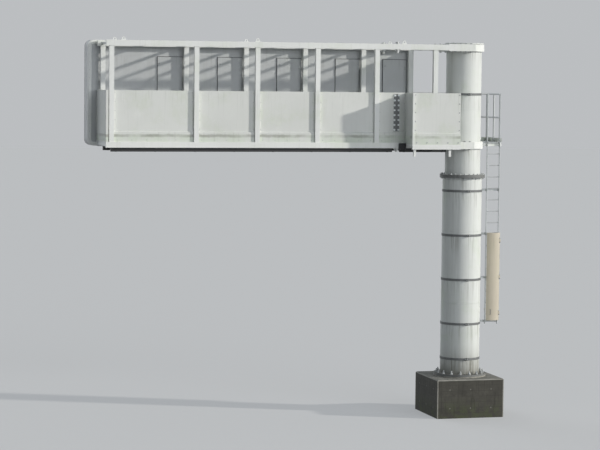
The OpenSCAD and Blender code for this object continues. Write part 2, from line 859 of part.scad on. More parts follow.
// Channels under the access landing, open to the inside of each cell
module landing_bearers() {
    t = channel_t;
    z1 = floor_z - floor_t;
    z0 = z1 - beam_w;
    color("#e4e6e1") difference() {
        union() {
            span_box([landing_x0, chord_out, z0], [landing_x1, chord_out + beam_w, z1]);
            span_box([landing_x0, landing_y1 - beam_w, z0], [landing_x1, landing_y1, z1]);
            for (x = [landing_x0, landing_in, landing_x1 - beam_w])
                span_box([x, x > 0 ? landing_y0 : chord_out, z0], [x + beam_w, landing_y1, z1]);
            span_box([landing_in, landing_y0, z0], [landing_x1, landing_y0 + beam_w, z1]);
        }
        span_box([landing_x0 + t, chord_out + t, z0 + t], [landing_in, landing_y1 - t, z1 - t]);
        span_box([landing_in + t, chord_out + t, z0 + t], [landing_x1 - t, landing_y1 - t, z1 - t]);
        span_box([landing_in + t, landing_y0 + t, z0 + t], [landing_x1 - t, chord_out, z1 - t]);
    }
}

module landing_floor() {
    color("#9a9d99") {
        floor_pan(landing_x0, landing_x1, chord_out, landing_y1);
        floor_pan(landing_in, landing_x1, landing_y0, chord_out - floor_joint);
    }
}

// Straight round bar from a to b, along X, Y or Z
module rail_bar(a, b) {
    run = b - a;
    turn = run[0] > 0 ? [0, 90, 0] : run[1] > 0 ? [-90, 0, 0] : [0, 0, 0];
    translate(a) rotate(turn) cylinder(h = norm(run), d = rail_d, $fn = 24);
}

// Posts at the given places with a top rail and a knee rail between the outer ones
module railing(places) {
    top = parapet_z - rail_d / 2;
    color("#e4e6e1") {
        for (p = places) rail_bar([p[0], p[1], floor_z], [p[0], p[1], top]);
        for (z = [top, floor_z + parapet_h / 2])
            rail_bar([places[0][0], places[0][1], z],
                [places[len(places) - 1][0], places[len(places) - 1][1], z]);
    }
}

module landing_side_rail() {
    y = landing_y1 - rail_d;
    x0 = landing_x0 + rail_d;
    x1 = landing_x1 - rail_d;
    railing([for (i = [0:3]) [x0 + i * (x1 - x0) / 3, y]]);
}

module landing_end_rail() {
    x = landing_x1 - rail_d;
    y0 = landing_y0 + rail_d;
    y1 = landing_y1 - 3 * rail_d;
    railing([for (i = [0:2]) [x, y0 + i * (y1 - y0) / 2]]);
}

module landing_toe_boards() {
    color("#d7dad5") {
        span_box([landing_x0, landing_y1, floor_z - floor_t],
            [landing_x1 + sheet_t, landing_y1 + sheet_t, floor_z + toe_h]);
        span_box([landing_x1, landing_y0, floor_z - floor_t],
            [landing_x1 + sheet_t, landing_y1 - seat_gap, floor_z + toe_h]);
    }
}

plinth();
grout_bed();
base_plate();
lower_column();
lower_flange();
upper_flange();
upper_column();
column_cap();
bottom_collar();
top_collar();
column_bands();
near_top_chord();
near_bottom_chord();
near_posts();
far_top_chord();
far_bottom_chord();
far_posts();
cross_bars();
floor_beams();
walkway_floor();
cable_ducts();
boom_end_plates();
stub_end_plates();
parapet_panel_1();
parapet_panel_2();
parapet_panel_3();
parapet_panel_4();
parapet_panel_5();
splice_strip();
end_parapet();
lifting_lugs();
bay_bearers();
bay_edge_beam();
bay_post();
bay_floor();
bay_rear_panel();
bay_side_panels();
sign_housing();
sign_doors();
sign_face();
sign_bezel();
sign_brackets();
ladder_stiles();
ladder_rungs();
ladder_brackets();
guard_hinges();
ladder_guard();
landing_bearers();
landing_floor();
landing_side_rail();
landing_end_rail();
landing_toe_boards();
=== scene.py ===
"""Looks of the overhead sign gantry: finishes, fixings, sign display and stage.

Everything is in metres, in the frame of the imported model: the column's axis is Z,
the boom runs along -X, the maintenance side is -Y and the display side is +Y.
In every step a and b are the lowest and highest corners of a box.
"""

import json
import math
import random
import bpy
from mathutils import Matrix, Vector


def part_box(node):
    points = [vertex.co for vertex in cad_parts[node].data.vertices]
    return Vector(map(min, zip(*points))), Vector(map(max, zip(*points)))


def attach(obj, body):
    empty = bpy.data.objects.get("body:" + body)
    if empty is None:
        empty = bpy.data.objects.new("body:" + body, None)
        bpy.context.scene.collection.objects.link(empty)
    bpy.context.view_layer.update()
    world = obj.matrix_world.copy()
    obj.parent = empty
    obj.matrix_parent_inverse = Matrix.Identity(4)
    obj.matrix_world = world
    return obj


bl_info = {
    "name": "Overhead sign gantry",
    "version": (1, 0, 0),
    "blender": (4, 5, 0),
    "location": "3D View > Sidebar > Gantry",
    "description": "Finishes, fixings, display and stage of an overhead sign gantry",
    "category": "Object",
}

import bpy
from bpy.props import (
    FloatProperty,
    FloatVectorProperty,
    IntProperty,
    PointerProperty,
)
from mathutils import Quaternion, Vector

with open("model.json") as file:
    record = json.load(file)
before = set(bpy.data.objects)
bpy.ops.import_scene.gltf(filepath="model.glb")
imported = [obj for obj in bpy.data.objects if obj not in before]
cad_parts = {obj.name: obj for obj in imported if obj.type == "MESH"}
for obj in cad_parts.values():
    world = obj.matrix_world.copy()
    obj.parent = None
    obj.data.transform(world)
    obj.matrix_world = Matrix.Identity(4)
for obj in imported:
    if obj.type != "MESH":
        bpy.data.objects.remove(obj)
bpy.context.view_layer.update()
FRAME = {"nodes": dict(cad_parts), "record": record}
GANTRY = "gantry"
GUARD = "ladder_guard"
HINGE_X, HINGE_Y, _ = FRAME["record"]["behaviour"]["joints"][0]["pos_m"]
REAR = (0, -1, 0)
FRONT = (0, 1, 0)
UP = (0, 0, 1)
DOWN = (0, 0, -1)
ROAD = (-1, 0, 0)
VERGE = (1, 0, 0)


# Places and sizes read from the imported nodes


def low(node):
    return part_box(node)[0]


def high(node):
    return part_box(node)[1]


def place(x, y, z, axis):
    """A point, and the way in which a fixing on it stands."""
    return Vector((x, y, z)), axis


def circle(radius, z, count=96, turn=0.0):
    """Points round the column's axis."""
    angles = [turn + i * math.tau / count for i in range(count)]
    return [Vector((radius * math.cos(angle), radius * math.sin(angle), z)) for angle in angles]


def ring(count, radius, z, axis, turn=0.0):
    """Places round the column's axis."""
    return [(point, axis) for point in circle(radius, z, count, turn)]


def spaced(start, end, bays):
    return [start + i * (end - start) / bays for i in range(bays + 1)]


def row(start, end, pitch, axis):
    """Places from start to end, as near to the pitch as fits."""
    start, end = Vector(start), Vector(end)
    count = max(1, round((end - start).length / pitch))
    return [(start.lerp(end, i / count), axis) for i in range(count + 1)]


def level(start, end, y, z, pitch, axis):
    """A row along X."""
    return row((start, y, z), (end, y, z), pitch, axis)


def upright(x, y, start, end, pitch, axis):
    """A row along Z."""
    return row((x, y, start), (x, y, end), pitch, axis)


def edge_rows(a, b, y, inset, corner, pitch, axis):
    """Rows along the four edges of an upright face, clear of its rounded corners."""
    places = []
    for z in (a.z + inset, b.z - inset):
        places += level(a.x + corner, b.x - corner, y, z, pitch, axis)
    for x in (a.x + inset, b.x - inset):
        places += upright(x, y, a.z + corner, b.z - corner, pitch, axis)
    return places


def solid_boxes(node):
    """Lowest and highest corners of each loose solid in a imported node, sorted along X."""
    mesh = FRAME["nodes"][node].data
    keys = [tuple(round(c, 5) for c in v.co) for v in mesh.vertices]
    owner = {key: key for key in keys}

    def find(key):
        while owner[key] != key:
            owner[key] = owner[owner[key]]
            key = owner[key]
        return key

    for face in mesh.polygons:
        first = find(keys[face.vertices[0]])
        for index in face.vertices[1:]:
            owner[find(keys[index])] = first
    groups = {}
    for key in owner:
        groups.setdefault(find(key), []).append(key)
    boxes = [
        (Vector(map(min, *points)), Vector(map(max, *points))) for points in groups.values()
    ]
    return sorted(boxes, key=lambda box: tuple(box[0]))


def lamp_field(grid):
    """Side of a lamp module, and the lower road-side corner of the lamps in X and Z."""
    a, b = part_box("sign_face")
    rim = 0.20
    module = grid.lamp_pitch * grid.lamps_in_module
    spare_x = (b.x - a.x - 2 * rim) % module
    spare_z = (b.z - a.z - 2 * rim) % module
    return module, a.x + rim + spare_x / 2, a.z + rim + spare_z / 2


# Node trees


class Wire:
    """An output socket, which Python's operators join to others through Math nodes."""

    def __init__(self, graph, socket):
        self.graph = graph
        self.socket = socket

    def __add__(self, other):
        return self.graph.math("ADD", self, other)

    def __sub__(self, other):
        return self.graph.math("SUBTRACT", self, other)

    def __rsub__(self, other):
        return self.graph.math("SUBTRACT", other, self)

    def __mul__(self, other):
        return self.graph.math("MULTIPLY", self, other)

    def __truediv__(self, other):
        return self.graph.math("DIVIDE", self, other)

    def __rtruediv__(self, other):
        return self.graph.math("DIVIDE", other, self)

    def __mod__(self, other):
        return self.graph.math("FLOORED_MODULO", self, other)

    def __pow__(self, other):
        return self.graph.math("POWER", self, other)

    def __abs__(self):
        return self.graph.math("ABSOLUTE", self)

    __radd__ = __add__
    __rmul__ = __mul__

    def over(self, other):
        """The larger of the two."""
        return self.graph.math("MAXIMUM", self, other)

    def under(self, other):
        """The smaller of the two."""
        return self.graph.math("MINIMUM", self, other)

    def rise(self, start, end):
        """0 up to start, 1 from end on, and smooth between."""
        sockets = {"Value": self, "From Min": start, "From Max": end}
        made = self.graph.node("ShaderNodeMapRange", sockets, interpolation_type="SMOOTHSTEP")
        return made["Result"]

    def fall(self, start, end):
        """1 up to start, 0 from end on, and smooth between."""
        return 1 - self.rise(start, end)


class Outputs:
    """A node's outputs, by name or number."""

    def __init__(self, graph, node):
        self.graph = graph
        self.node = node

    def __getitem__(self, key):
        return Wire(self.graph, self.node.outputs[key])


class Graph:
    """A node tree and the one way in which its nodes are made."""

    def __init__(self, tree):
        self.tree = tree
        tree.nodes.clear()

    def node(self, kind, sockets=None, **settings):
        """Makes a node: its settings first, then values or wires for its sockets."""
        made = self.tree.nodes.new(kind)
        for key, value in settings.items():
            setattr(made, key, value)
        for key, value in (sockets or {}).items():
            if isinstance(value, Wire):
                self.tree.links.new(value.socket, made.inputs[key])
            else:
                made.inputs[key].default_value = value
        return Outputs(self, made)

    def math(self, operation, *values):
        return self.node("ShaderNodeMath", dict(enumerate(values)), operation=operation)[0]

    def mix(self, first, second, factor):
        """Blend of two colours, each a wire or three numbers."""
        sockets = {0: factor, 6: rgba(first), 7: rgba(second)}
        return self.node("ShaderNodeMix", sockets, data_type="RGBA")[2]

    def split(self, vector):
        parts = self.node("ShaderNodeSeparateXYZ", {0: vector})
        return parts[0], parts[1], parts[2]

    def seen(self):
        """1 for the camera's rays, also through glass or off gloss, and 0 for the light."""
        path = self.node("ShaderNodeLightPath")
        return path["Is Camera Ray"].over(path["Is Glossy Ray"]).over(path["Is Transmission Ray"])


def rgba(colour):
    return colour if isinstance(colour, Wire) else (*colour[:3], 1.0)


def shade(colour, factor):
    return tuple(c * factor for c in colour)


def tinted(colour, tint):
    return tuple(c * t for c, t in zip(colour, tint))


class Finish(Graph):
    """A material's tree, with the patterns that the finishes share."""

    def __init__(self, name):
        self.material = bpy.data.materials.new(name)
        self.material.use_nodes = True
        super().__init__(self.material.node_tree)
        self.place = self.node("ShaderNodeTexCoord")["Object"]
        self.x, self.y, self.z = self.split(self.place)
        self.nx, self.ny, self.nz = self.split(self.node("ShaderNodeNewGeometry")["Normal"])

    def noise(self, scale, detail=3.0, rough=0.55, stretch=(1, 1, 1), shift=(0, 0, 0)):
        """Noise from 0 to 1, of scale features a metre."""
        mapping = {"Vector": self.place, "Location": shift, "Scale": stretch}
        sockets = {
            "Vector": self.node("ShaderNodeMapping", mapping)[0],
            "Scale": scale,
            "Detail": detail,
            "Roughness": rough,
        }
        return self.node("ShaderNodeTexNoise", sockets)[0]

    def cells(self, scale, output="Distance"):
        sockets = {"Vector": self.place, "Scale": scale}
        return self.node("ShaderNodeTexVoronoi", sockets)[output]

    def below(self, ledges, reach):
        """Streak ground: 1 just below each ledge and 0 from reach down, or above it."""
        total = None
        for ledge in ledges:
            part = self.z.rise(ledge - reach, ledge) * self.z.fall(ledge, ledge + 0.006)
            total = total.over(part) if total else part
        return total

    def splash(self, tone, colour, soil, foot, cloud):
        """Green bloom on the kick plate above a foot, and a broken band of painted shade
        under the panel's fold.
        """
        above = self.z - foot + self.noise(6.0, 4, 0.65, shift=(1, 2, 0)) * 0.06
        bloom = above.fall(0.14, 0.28) * cloud.rise(0.30, 0.65) * 0.75
        tone = self.mix(tone, tinted(colour, (0.86, 0.93, 0.82)), bloom)
        # Painted shade: a dark band just under the panel's fold, where the gap above the kick plate
        # lies in shade.
        shade_under_fold = above.rise(0.130, 0.175) * above.fall(0.205, 0.235)
        broken = self.noise(0.8, 4, 0.6, shift=(2, 0, 5)).rise(0.38, 0.60) * (0.35 + 0.7 * cloud)
        return self.mix(tone, shade(soil, 1.1), shade_under_fold * broken * 0.75)

    def bump(self, height, distance, strength, normal=None):
        sockets = {"Height": height, "Distance": distance, "Strength": strength}
        if normal:
            sockets["Normal"] = normal
        return self.node("ShaderNodeBump", sockets)["Normal"]

    def close(self, colour, roughness, normal=None, metallic=0.0):
        """Ends the tree in one shader."""
        sockets = {"Base Color": colour, "Roughness": roughness, "Metallic": metallic}
        if normal:
            sockets["Normal"] = normal
        shader = self.node("ShaderNodeBsdfPrincipled", sockets)[0]
        self.node("ShaderNodeOutputMaterial", {"Surface": shader})
        return self.material


# Finishes

RUST = (0.19, 0.075, 0.03)


def paint(name, colour, soil, amount, ledges=(), reach=0.6, gloss=0.52, flex=0.0, rust=0.0,
          algae=0.0, foot=None):
    """Site-weathered paint on steel: chalking, run-down streaks, specks of rust, algae,
    and painted shade darkening the downward faces.

    Where foot is given, splash adds green bloom and a band of painted shade
    to the lowest quarter metre above that height.
    """
    f = Finish(name)
    broad = f.noise(0.55, 4, 0.6)
    cloud = f.noise(3.1, 5, 0.62, shift=(3.0, 1.0, 7.0))
    runs = f.noise(1.9, 5, 0.62, stretch=(9.0, 9.0, 0.5))
    fine_runs = f.noise(5.5, 4, 0.6, stretch=(14.0, 14.0, 0.55), shift=(1.0, 4.0, 2.0))
    streak = runs.rise(0.50, 0.76) * 0.6 + fine_runs.rise(0.54, 0.78) * broad.rise(0.42, 0.62) * 0.4
    dirt = streak * abs(f.nz).fall(0.35, 0.8) * (0.30 + 0.7 * cloud)
    if ledges:
        dirt = dirt * 0.55 + streak * f.below(ledges, reach) * (0.4 + 0.9 * cloud)
    lying = f.nz.rise(0.6, 0.95) * (0.25 + 0.5 * cloud)
    # Painted shade: faces that look down are darkened towards the dirt colour, as if in shade; this
    # joins the dirt mask.
    under = f.nz.fall(-0.95, -0.5) * (0.35 + 0.4 * broad)
    dirt_and_darkening = ((dirt + lying + under) * amount).under(0.92)
    tone = f.mix(shade(colour, 0.93), colour, broad.rise(0.3, 0.7))
    tone = f.mix(tone, shade(colour, 1.035), cloud.rise(0.55, 0.75) * 0.6)
    if algae:
        patches = f.noise(1.3, 5, 0.65, shift=(5, 2, 1)).rise(0.46, 0.72)
        tone = f.mix(tone, tinted(colour, (0.72, 0.80, 0.60)), patches * algae)
    if foot is not None:
        tone = f.splash(tone, colour, soil, foot, cloud)
    tone = f.mix(tone, soil, dirt_and_darkening)
    if rust:
        speck = f.noise(31.0, 4, 0.7).rise(0.66, 0.73)
        tone = f.mix(tone, RUST, (speck * cloud.rise(0.52, 0.66) * rust).under(0.9))
    peel = f.bump(f.noise(420.0, 2), 0.00012, 0.5)
    if flex:
        peel = f.bump(f.noise(1.25, 2, 0.4, stretch=(1.0, 1.0, 0.8)), flex, 0.5, peel)
    return f.close(tone, gloss + 0.12 * cloud + dirt_and_darkening * 0.25, peel)


def column_paint(name, colour, soil, ledges):
    """Column paint, darker over about the lowest metre above the base plate,
    with dirt below the bands and flanges.
    """
    f = Finish(name)
    foot = high("base_plate").z
    broad = f.noise(0.7, 4, 0.6)
    cloud = f.noise(3.4, 5, 0.62, shift=(2.0, 6.0, 1.0))
    runs = f.noise(1.7, 5, 0.62, stretch=(7.0, 7.0, 0.32))
    fine_runs = f.noise(4.5, 4, 0.6, stretch=(13.0, 13.0, 0.4), shift=(1.0, 4.0, 2.0))
    streak = runs.rise(0.47, 0.74) * 0.6 + fine_runs.rise(0.52, 0.77) * 0.5
    # Darker towards the foot, over about the lowest metre above the base plate.
    splash = f.z.fall(foot + 0.02, foot + 0.87) * (0.45 + 0.55 * cloud)
    splash = splash + f.z.fall(foot - 0.01, foot + 0.27) * 0.35
    dirt = streak * (0.14 + 0.3 * cloud) + streak * f.below(ledges, 0.55) * 0.6
    lying = f.nz.rise(0.6, 0.95) * (0.35 + 0.5 * cloud)
    dirt_and_darkening = (dirt + splash * 0.75 + lying * 0.6).under(0.9)
    tone = f.mix(shade(colour, 0.94), colour, broad.rise(0.3, 0.7))
    patches = f.noise(1.1, 5, 0.65, shift=(5, 2, 1)).rise(0.48, 0.74)
    tone = f.mix(tone, tinted(colour, (0.78, 0.86, 0.70)), patches * 0.45)
    tone = f.mix(tone, soil, dirt_and_darkening)
    speck = f.noise(34.0, 4, 0.7).rise(0.67, 0.74) * cloud.rise(0.5, 0.64)
    low_down = f.z.fall(foot + 0.02, foot + 1.12)
    tone = f.mix(tone, RUST, (speck * (0.35 + 0.65 * low_down)).under(0.85))
    peel = f.bump(f.noise(380.0, 2), 0.00012, 0.5)
    rolled = f.bump(f.noise(0.9, 2, 0.4, stretch=(1, 1, 3.2)), 0.003, 0.4, peel)
    return f.close(tone, 0.50 + 0.14 * cloud + dirt_and_darkening * 0.25, rolled)


def zinc(name, colour, metal=0.55, rust=0.25, gloss=0.40):
    """Weathered hot-dip galvanising: spangle, dull bloom and a little rust."""
    f = Finish(name)
    grey = f.node("ShaderNodeSeparateColor", {0: f.cells(55.0, "Color")})[0]
    bloom = f.noise(4.0, 5, 0.65)
    speck = f.noise(42.0, 4, 0.7)
    runs = f.noise(3.0, 4, 0.6, stretch=(10.0, 10.0, 0.6))
    tone = f.mix(shade(colour, 0.80), shade(colour, 1.12), grey * 0.6 + bloom * 0.4)
    tone = f.mix(tone, shade(colour, 0.52), runs.rise(0.5, 0.75) * 0.45)
    lying = f.nz.rise(0.6, 0.95) * (0.4 + 0.6 * bloom.rise(0.30, 0.70))
    tone = f.mix(tone, (0.15, 0.145, 0.12), lying * 0.45)
    spots = (speck.rise(0.62, 0.72) * bloom.rise(0.5, 0.68) * rust).under(0.9)
    tone = f.mix(tone, (0.20, 0.085, 0.035), spots)
    normal = f.bump(grey * 0.5 + f.noise(160.0, 2), 0.0002, 0.5)
    rough = gloss + 0.2 * bloom + 0.12 * grey + 0.2 * lying
    return f.close(tone, rough, normal, metal * (1 - spots) * (1 - 0.7 * lying))


def concrete(name, dark, pale, upper):
    """Damp old concrete: board marks, blow holes and a green foot; the lighter top face
    and the pale top arrises are painted light.
    """
    f = Finish(name)
    board_tall = 0.143
    half, top = high("plinth").x, high("plinth").z
    broad = f.noise(1.3, 5, 0.65)
    cloud = f.noise(6.0, 6, 0.68, shift=(4, 1, 2))
    grit = f.noise(120.0, 3, 0.7)
    grain = f.noise(5.0, 4, 0.6, stretch=(1.0, 1.0, 11.0), shift=(1, 0, 3))
    runs = f.noise(2.4, 5, 0.62, stretch=(7.0, 7.0, 0.6))
    side = abs(f.nz).fall(0.2, 0.5)
    course = f.z / board_tall + f.noise(1.5, 1) * 0.10
    joint = abs(course % 1 - 0.5).rise(0.455, 0.495) * side * broad.rise(0.30, 0.62)
    number = {"W": f.math("FLOOR", course)}
    board = f.node("ShaderNodeTexWhiteNoise", number, noise_dimensions="1D")[0]
    ties = tie_plugs(f, half, side)
    holes = f.cells(17.0).fall(0.05, 0.13) * side * cloud.rise(0.35, 0.6)
    # Painted highlight: pale top arrises and a pale top rim on the sides, where the top edges catch
    # the light.
    edge_x = abs(f.x).rise(half - 0.035, half - 0.008)
    edge_y = abs(f.y).rise(half - 0.035, half - 0.008)
    rim = f.z.rise(top - 0.038, top - 0.015) * side.over(edge_x.over(edge_y))
    arris_highlight = (edge_x * edge_y).over(rim) * (cloud + 0.35).under(1)
    tone = f.mix(dark, shade(dark, 1.9), (broad * 0.5 + cloud * 0.5).rise(0.38, 0.68))
    tone = f.mix(tone, shade(dark, 1.55), (board * 0.6 + grain * 0.5 - 0.35).over(0) * side)
    tone = f.mix(tone, shade(dark, 0.55), runs.rise(0.5, 0.72) * side * 0.7)
    tone = f.mix(tone, (0.060, 0.075, 0.030), f.z.fall(0.05, 0.62) * cloud.rise(0.4, 0.62) * 0.65)
    tone = f.mix(tone, shade(dark, 0.45), (joint * 0.8).over(holes) * 0.7)
    tone = f.mix(tone, shade(pale, 0.45), ties * (0.5 + 0.5 * cloud))
    # Painted light: the top face takes the lighter upper colour as if lit, while the sides keep the
    # dark colour as if in shade.
    lying = f.mix(shade(upper, 0.62), upper, cloud.rise(0.35, 0.68))
    tone = f.mix(tone, lying, f.nz.rise(0.5, 0.9))
    tone = f.mix(tone, pale, arris_highlight * 0.8)
    height = grit * 0.35 + cloud * 0.5 + grain * side * 0.35 - joint * 0.7 - holes * 1.2 - ties * 0.8
    return f.close(tone, 0.82 + 0.12 * grit, f.bump(height, 0.004, 0.7))


def tie_plugs(f, half, side):
    """Mortar plugs of the formwork's ties: two rows of three on each side."""
    low_row, rise, plug = 0.26, 0.48, 0.019
    pitch = half * 0.62
    across = (f.x * abs(f.ny).rise(0.4, 0.6) + f.y * abs(f.nx).rise(0.4, 0.6)) / pitch
    along = (f.z - low_row) / rise
    near_x = abs((across + 0.5) % 1 - 0.5) * pitch
    near_z = abs((along + 0.5) % 1 - 0.5) * rise
    distance = (near_x * near_x + near_z * near_z) ** 0.5
    return distance.fall(plug - 0.002, plug + 0.002) * side * abs(across).fall(1.3, 1.4)


def grout(name, colour):
    f = Finish(name)
    cloud = f.noise(9.0, 6, 0.7)
    grit = f.noise(150.0, 3, 0.7)
    tone = f.mix(shade(colour, 0.55), colour, cloud.rise(0.3, 0.7))
    tone = f.mix(tone, (0.16, 0.075, 0.035), f.noise(5.0, 4).rise(0.6, 0.75) * 0.5)
    return f.close(tone, 0.85 + 0.1 * grit, f.bump(grit * 0.5 + cloud, 0.003, 0.6))


def display_face(name, colour, module, x0, z0):
    """Matt black lamp boards, with the joints between modules as fine grooves."""
    f = Finish(name)
    across = abs((f.x - x0) / module % 1 - 0.5).rise(0.485, 0.497)
    along = abs((f.z - z0) / module % 1 - 0.5).rise(0.485, 0.497)
    groove = across.over(along)
    dust = f.noise(2.2, 5, 0.65) * 0.5 + f.noise(26.0, 3) * 0.5
    tone = f.mix(colour, shade(colour, 2.6), dust.rise(0.45, 0.75) * 0.6)
    tone = f.mix(tone, shade(colour, 0.3), groove)
    return f.close(tone, 0.62 + 0.2 * dust, f.bump(groove * -1.0, 0.002, 0.8))


def lamp_glass(name):
    f = Finish(name)
    tone = f.mix((0.060, 0.052, 0.036), (0.13, 0.11, 0.07), f.noise(7.0, 3).rise(0.4, 0.7))
    return f.close(tone, 0.22 + 0.15 * f.noise(60.0, 2))


def rubber(name):
    f = Finish(name)
    dust = f.noise(14.0, 4, 0.6)
    tone = f.mix((0.018, 0.018, 0.019), (0.06, 0.058, 0.055), dust.rise(0.45, 0.8))
    return f.close(tone, 0.75 + 0.15 * dust)


# Meshes and Geometry Nodes

FINISHES = {}


def keep(obj, body):
    """The finished piece rides on its body."""
    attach(obj, body)


def new_object(name, data):
    obj = bpy.data.objects.new(name, data)
    bpy.context.scene.collection.objects.link(obj)
    return obj


def new_mesh(name, points, edges=(), faces=(), material=None):
    mesh = bpy.data.meshes.new(name)
    mesh.from_pydata([tuple(point) for point in points], edges, faces)
    if material:
        mesh.materials.append(material)
    return mesh


def evaluated_mesh(obj):
    """A plain mesh of what an object's modifier or curve makes."""
    bpy.context.view_layer.update()
    graph = bpy.context.evaluated_depsgraph_get()
    return bpy.data.meshes.new_from_object(obj.evaluated_get(graph), depsgraph=graph)


def settle(obj):
    """Turns an object with its modifier into a plain mesh."""
    mesh, old = evaluated_mesh(obj), obj.data
    obj.modifiers.clear()
    obj.data = mesh
    mesh.name = obj.name
    bpy.data.meshes.remove(old)
    if not mesh.polygons:
        raise RuntimeError(f"{obj.name} came out empty")
    return obj


class Shape(Graph):
    """A Geometry Nodes tree: a base mesh, lengths and a material in, one shape out."""

    def __init__(self, name, *labels):
        super().__init__(bpy.data.node_groups.new(name, "GeometryNodeTree"))
        face = self.tree.interface
        face.new_socket("Geometry", in_out="INPUT", socket_type="NodeSocketGeometry")
        for label in labels:
            face.new_socket(label, in_out="INPUT", socket_type="NodeSocketFloat")
        face.new_socket("Material", in_out="INPUT", socket_type="NodeSocketMaterial")
        face.new_socket("Geometry", in_out="OUTPUT", socket_type="NodeSocketGeometry")
        self.given = self.node("NodeGroupInput")
        self.lengths = [self.given[label] for label in labels]

    def cylinder(self, sides, radius, depth):
        sockets = {"Vertices": sides, "Radius": radius, "Depth": depth}
        return self.node("GeometryNodeMeshCylinder", sockets, fill_type="NGON")[0]

    def cone(self, sides, top, foot, depth, fill="NGON"):
        sockets = {"Vertices": sides, "Radius Top": top, "Radius Bottom": foot, "Depth": depth}
        return self.node("GeometryNodeMeshCone", sockets, fill_type=fill)[0]

    def disc(self, sides, radius):
        sockets = {"Vertices": sides, "Radius": radius}
        return self.node("GeometryNodeMeshCircle", sockets, fill_type="NGON")[0]

    def lifted(self, geometry, z):
        lift = self.node("ShaderNodeCombineXYZ", {"Z": z})[0]
        return self.node("GeometryNodeTransform", {"Geometry": geometry, "Translation": lift})[0]

    def joined(self, parts):
        made = self.node("GeometryNodeJoinGeometry")
        for part in reversed(parts):
            self.tree.links.new(part.socket, made.node.inputs[0])
        return made[0]

    def on_places(self, shape):
        """Instances of shape on the base mesh's points, along the axis kept with each point."""
        named = "GeometryNodeInputNamedAttribute"
        axis = self.node(named, {"Name": "axis"}, data_type="FLOAT_VECTOR")[0]
        spin = self.node(named, {"Name": "spin"}, data_type="FLOAT")[0]
        stood = self.node("FunctionNodeAlignRotationToVector", {"Vector": axis}, axis="Z")[0]
        about = self.node("FunctionNodeAxisAngleToRotation", {"Axis": UP, "Angle": spin})[0]
        turn = {"Rotation": stood, "Rotate By": about}
        turned = self.node("FunctionNodeRotateRotation", turn, rotation_space="LOCAL")[0]
        sockets = {"Points": self.given["Geometry"], "Instance": shape, "Rotation": turned}
        return self.node("GeometryNodeInstanceOnPoints", sockets)[0]

    def end(self, geometry):
        """Realize Instances, Set Material and the tree's output."""
        real = self.node("GeometryNodeRealizeInstances", {"Geometry": geometry})[0]
        sockets = {"Geometry": real, "Material": self.given["Material"]}
        self.node("NodeGroupOutput", {0: self.node("GeometryNodeSetMaterial", sockets)[0]})
        return self.tree


def hex_fixing_tree():
    """Hexagon nut or bolt head with its washer and the stud's end."""
    shape = Shape("Hex fixing", "Across flats", "Height", "Washer", "Washer thickness", "Stud")
    flats, tall, washer, thin, stud = shape.lengths
    hex_radius = flats * 0.5774
    parts = [
        shape.lifted(shape.cylinder(16, washer * 0.5, thin), thin * 0.5),
        shape.lifted(shape.cylinder(6, hex_radius, tall * 0.9), thin + tall * 0.45),
        shape.lifted(shape.cone(12, flats * 0.43, flats * 0.52, tall * 0.1), thin + tall * 0.9),
        shape.lifted(shape.cone(10, flats * 0.26, flats * 0.3, stud), thin + tall * 0.98),
    ]
    return shape.end(shape.on_places(shape.joined(parts)))


def dome_head_tree():
    """Low domed head: two open frustums, closed at the top and the foot."""
    shape = Shape("Dome head", "Diameter", "Height")
    across, tall = shape.lengths
    sides, foot, waist, top = 10, across * 0.5, across * 0.42, across * 0.2
    skirt_tall = tall * 0.55
    crown = shape.cone(sides, top, waist, tall * 0.45, "NONE")
    parts = [
        shape.cone(sides, waist, foot, skirt_tall, "NONE"),
        shape.lifted(crown, skirt_tall),
        shape.lifted(shape.disc(sides, top), tall),
        shape.node("GeometryNodeFlipFaces", {"Mesh": shape.disc(sides, foot)})[0],
    ]
    sockets = {"Geometry": shape.joined(parts), "Distance": 0.0001}
    return shape.end(shape.on_places(shape.node("GeometryNodeMergeByDistance", sockets)[0]))


def tread_stud_tree():
    """Raised lozenge of a tread plate."""
    shape = Shape("Tread stud", "Length", "Width", "Height")
    long, wide, tall = shape.lengths
    size = shape.node("ShaderNodeCombineXYZ", {"X": long, "Y": wide, "Z": 1.0})[0]
    sockets = {"Geometry": shape.cone(4, 0.36, 0.5, tall), "Scale": size}
    return shape.end(shape.on_places(shape.node("GeometryNodeTransform", sockets)[0]))


def weld_bead_tree():
    """Weld bead along every edge loop of the base mesh, with its ripples."""
    shape = Shape("Weld bead", "Bead", "Step", "Ripple")
    bead, step, ripple = shape.lengths
    path = shape.node("GeometryNodeMeshToCurve", {"Mesh": shape.given["Geometry"]})[0]
    sockets = {"Curve": path, "Length": step}
    path = shape.node("GeometryNodeResampleCurve", sockets, mode="LENGTH")[0]
    sockets = {"Resolution": 6, "Radius": bead * 0.5}
    section = shape.node("GeometryNodeCurvePrimitiveCircle", sockets)[0]
    tube = shape.node("GeometryNodeCurveToMesh", {"Curve": path, "Profile Curve": section})[0]
    wave = shape.node("ShaderNodeTexNoise", {"Scale": 45.0, "Detail": 2.0})[0]
    normal = shape.node("GeometryNodeInputNormal")[0]
    sockets = {0: normal, "Scale": (wave - 0.5) * ripple}
    push = shape.node("ShaderNodeVectorMath", sockets, operation="SCALE")[0]
    return shape.end(shape.node("GeometryNodeSetPosition", {"Geometry": tube, "Offset": push})[0])


TREES = {}


def build(name, mesh, maker, lengths, slot, finish=None, body=GANTRY):
    """Runs a tree over a base mesh and keeps the plain mesh that it leaves."""
    if maker not in TREES:
        TREES[maker] = maker()
    obj = new_object(name, mesh)
    modifier = obj.modifiers.new("Build", "NODES")
    modifier.node_group = TREES[maker]
    values = {**lengths, "Material": FINISHES[finish or slot]}
    for item in TREES[maker].interface.items_tree:
        if item.in_out == "INPUT" and item.name in values:
            modifier[item.identifier] = values[item.name]
    keep(settle(obj), body)


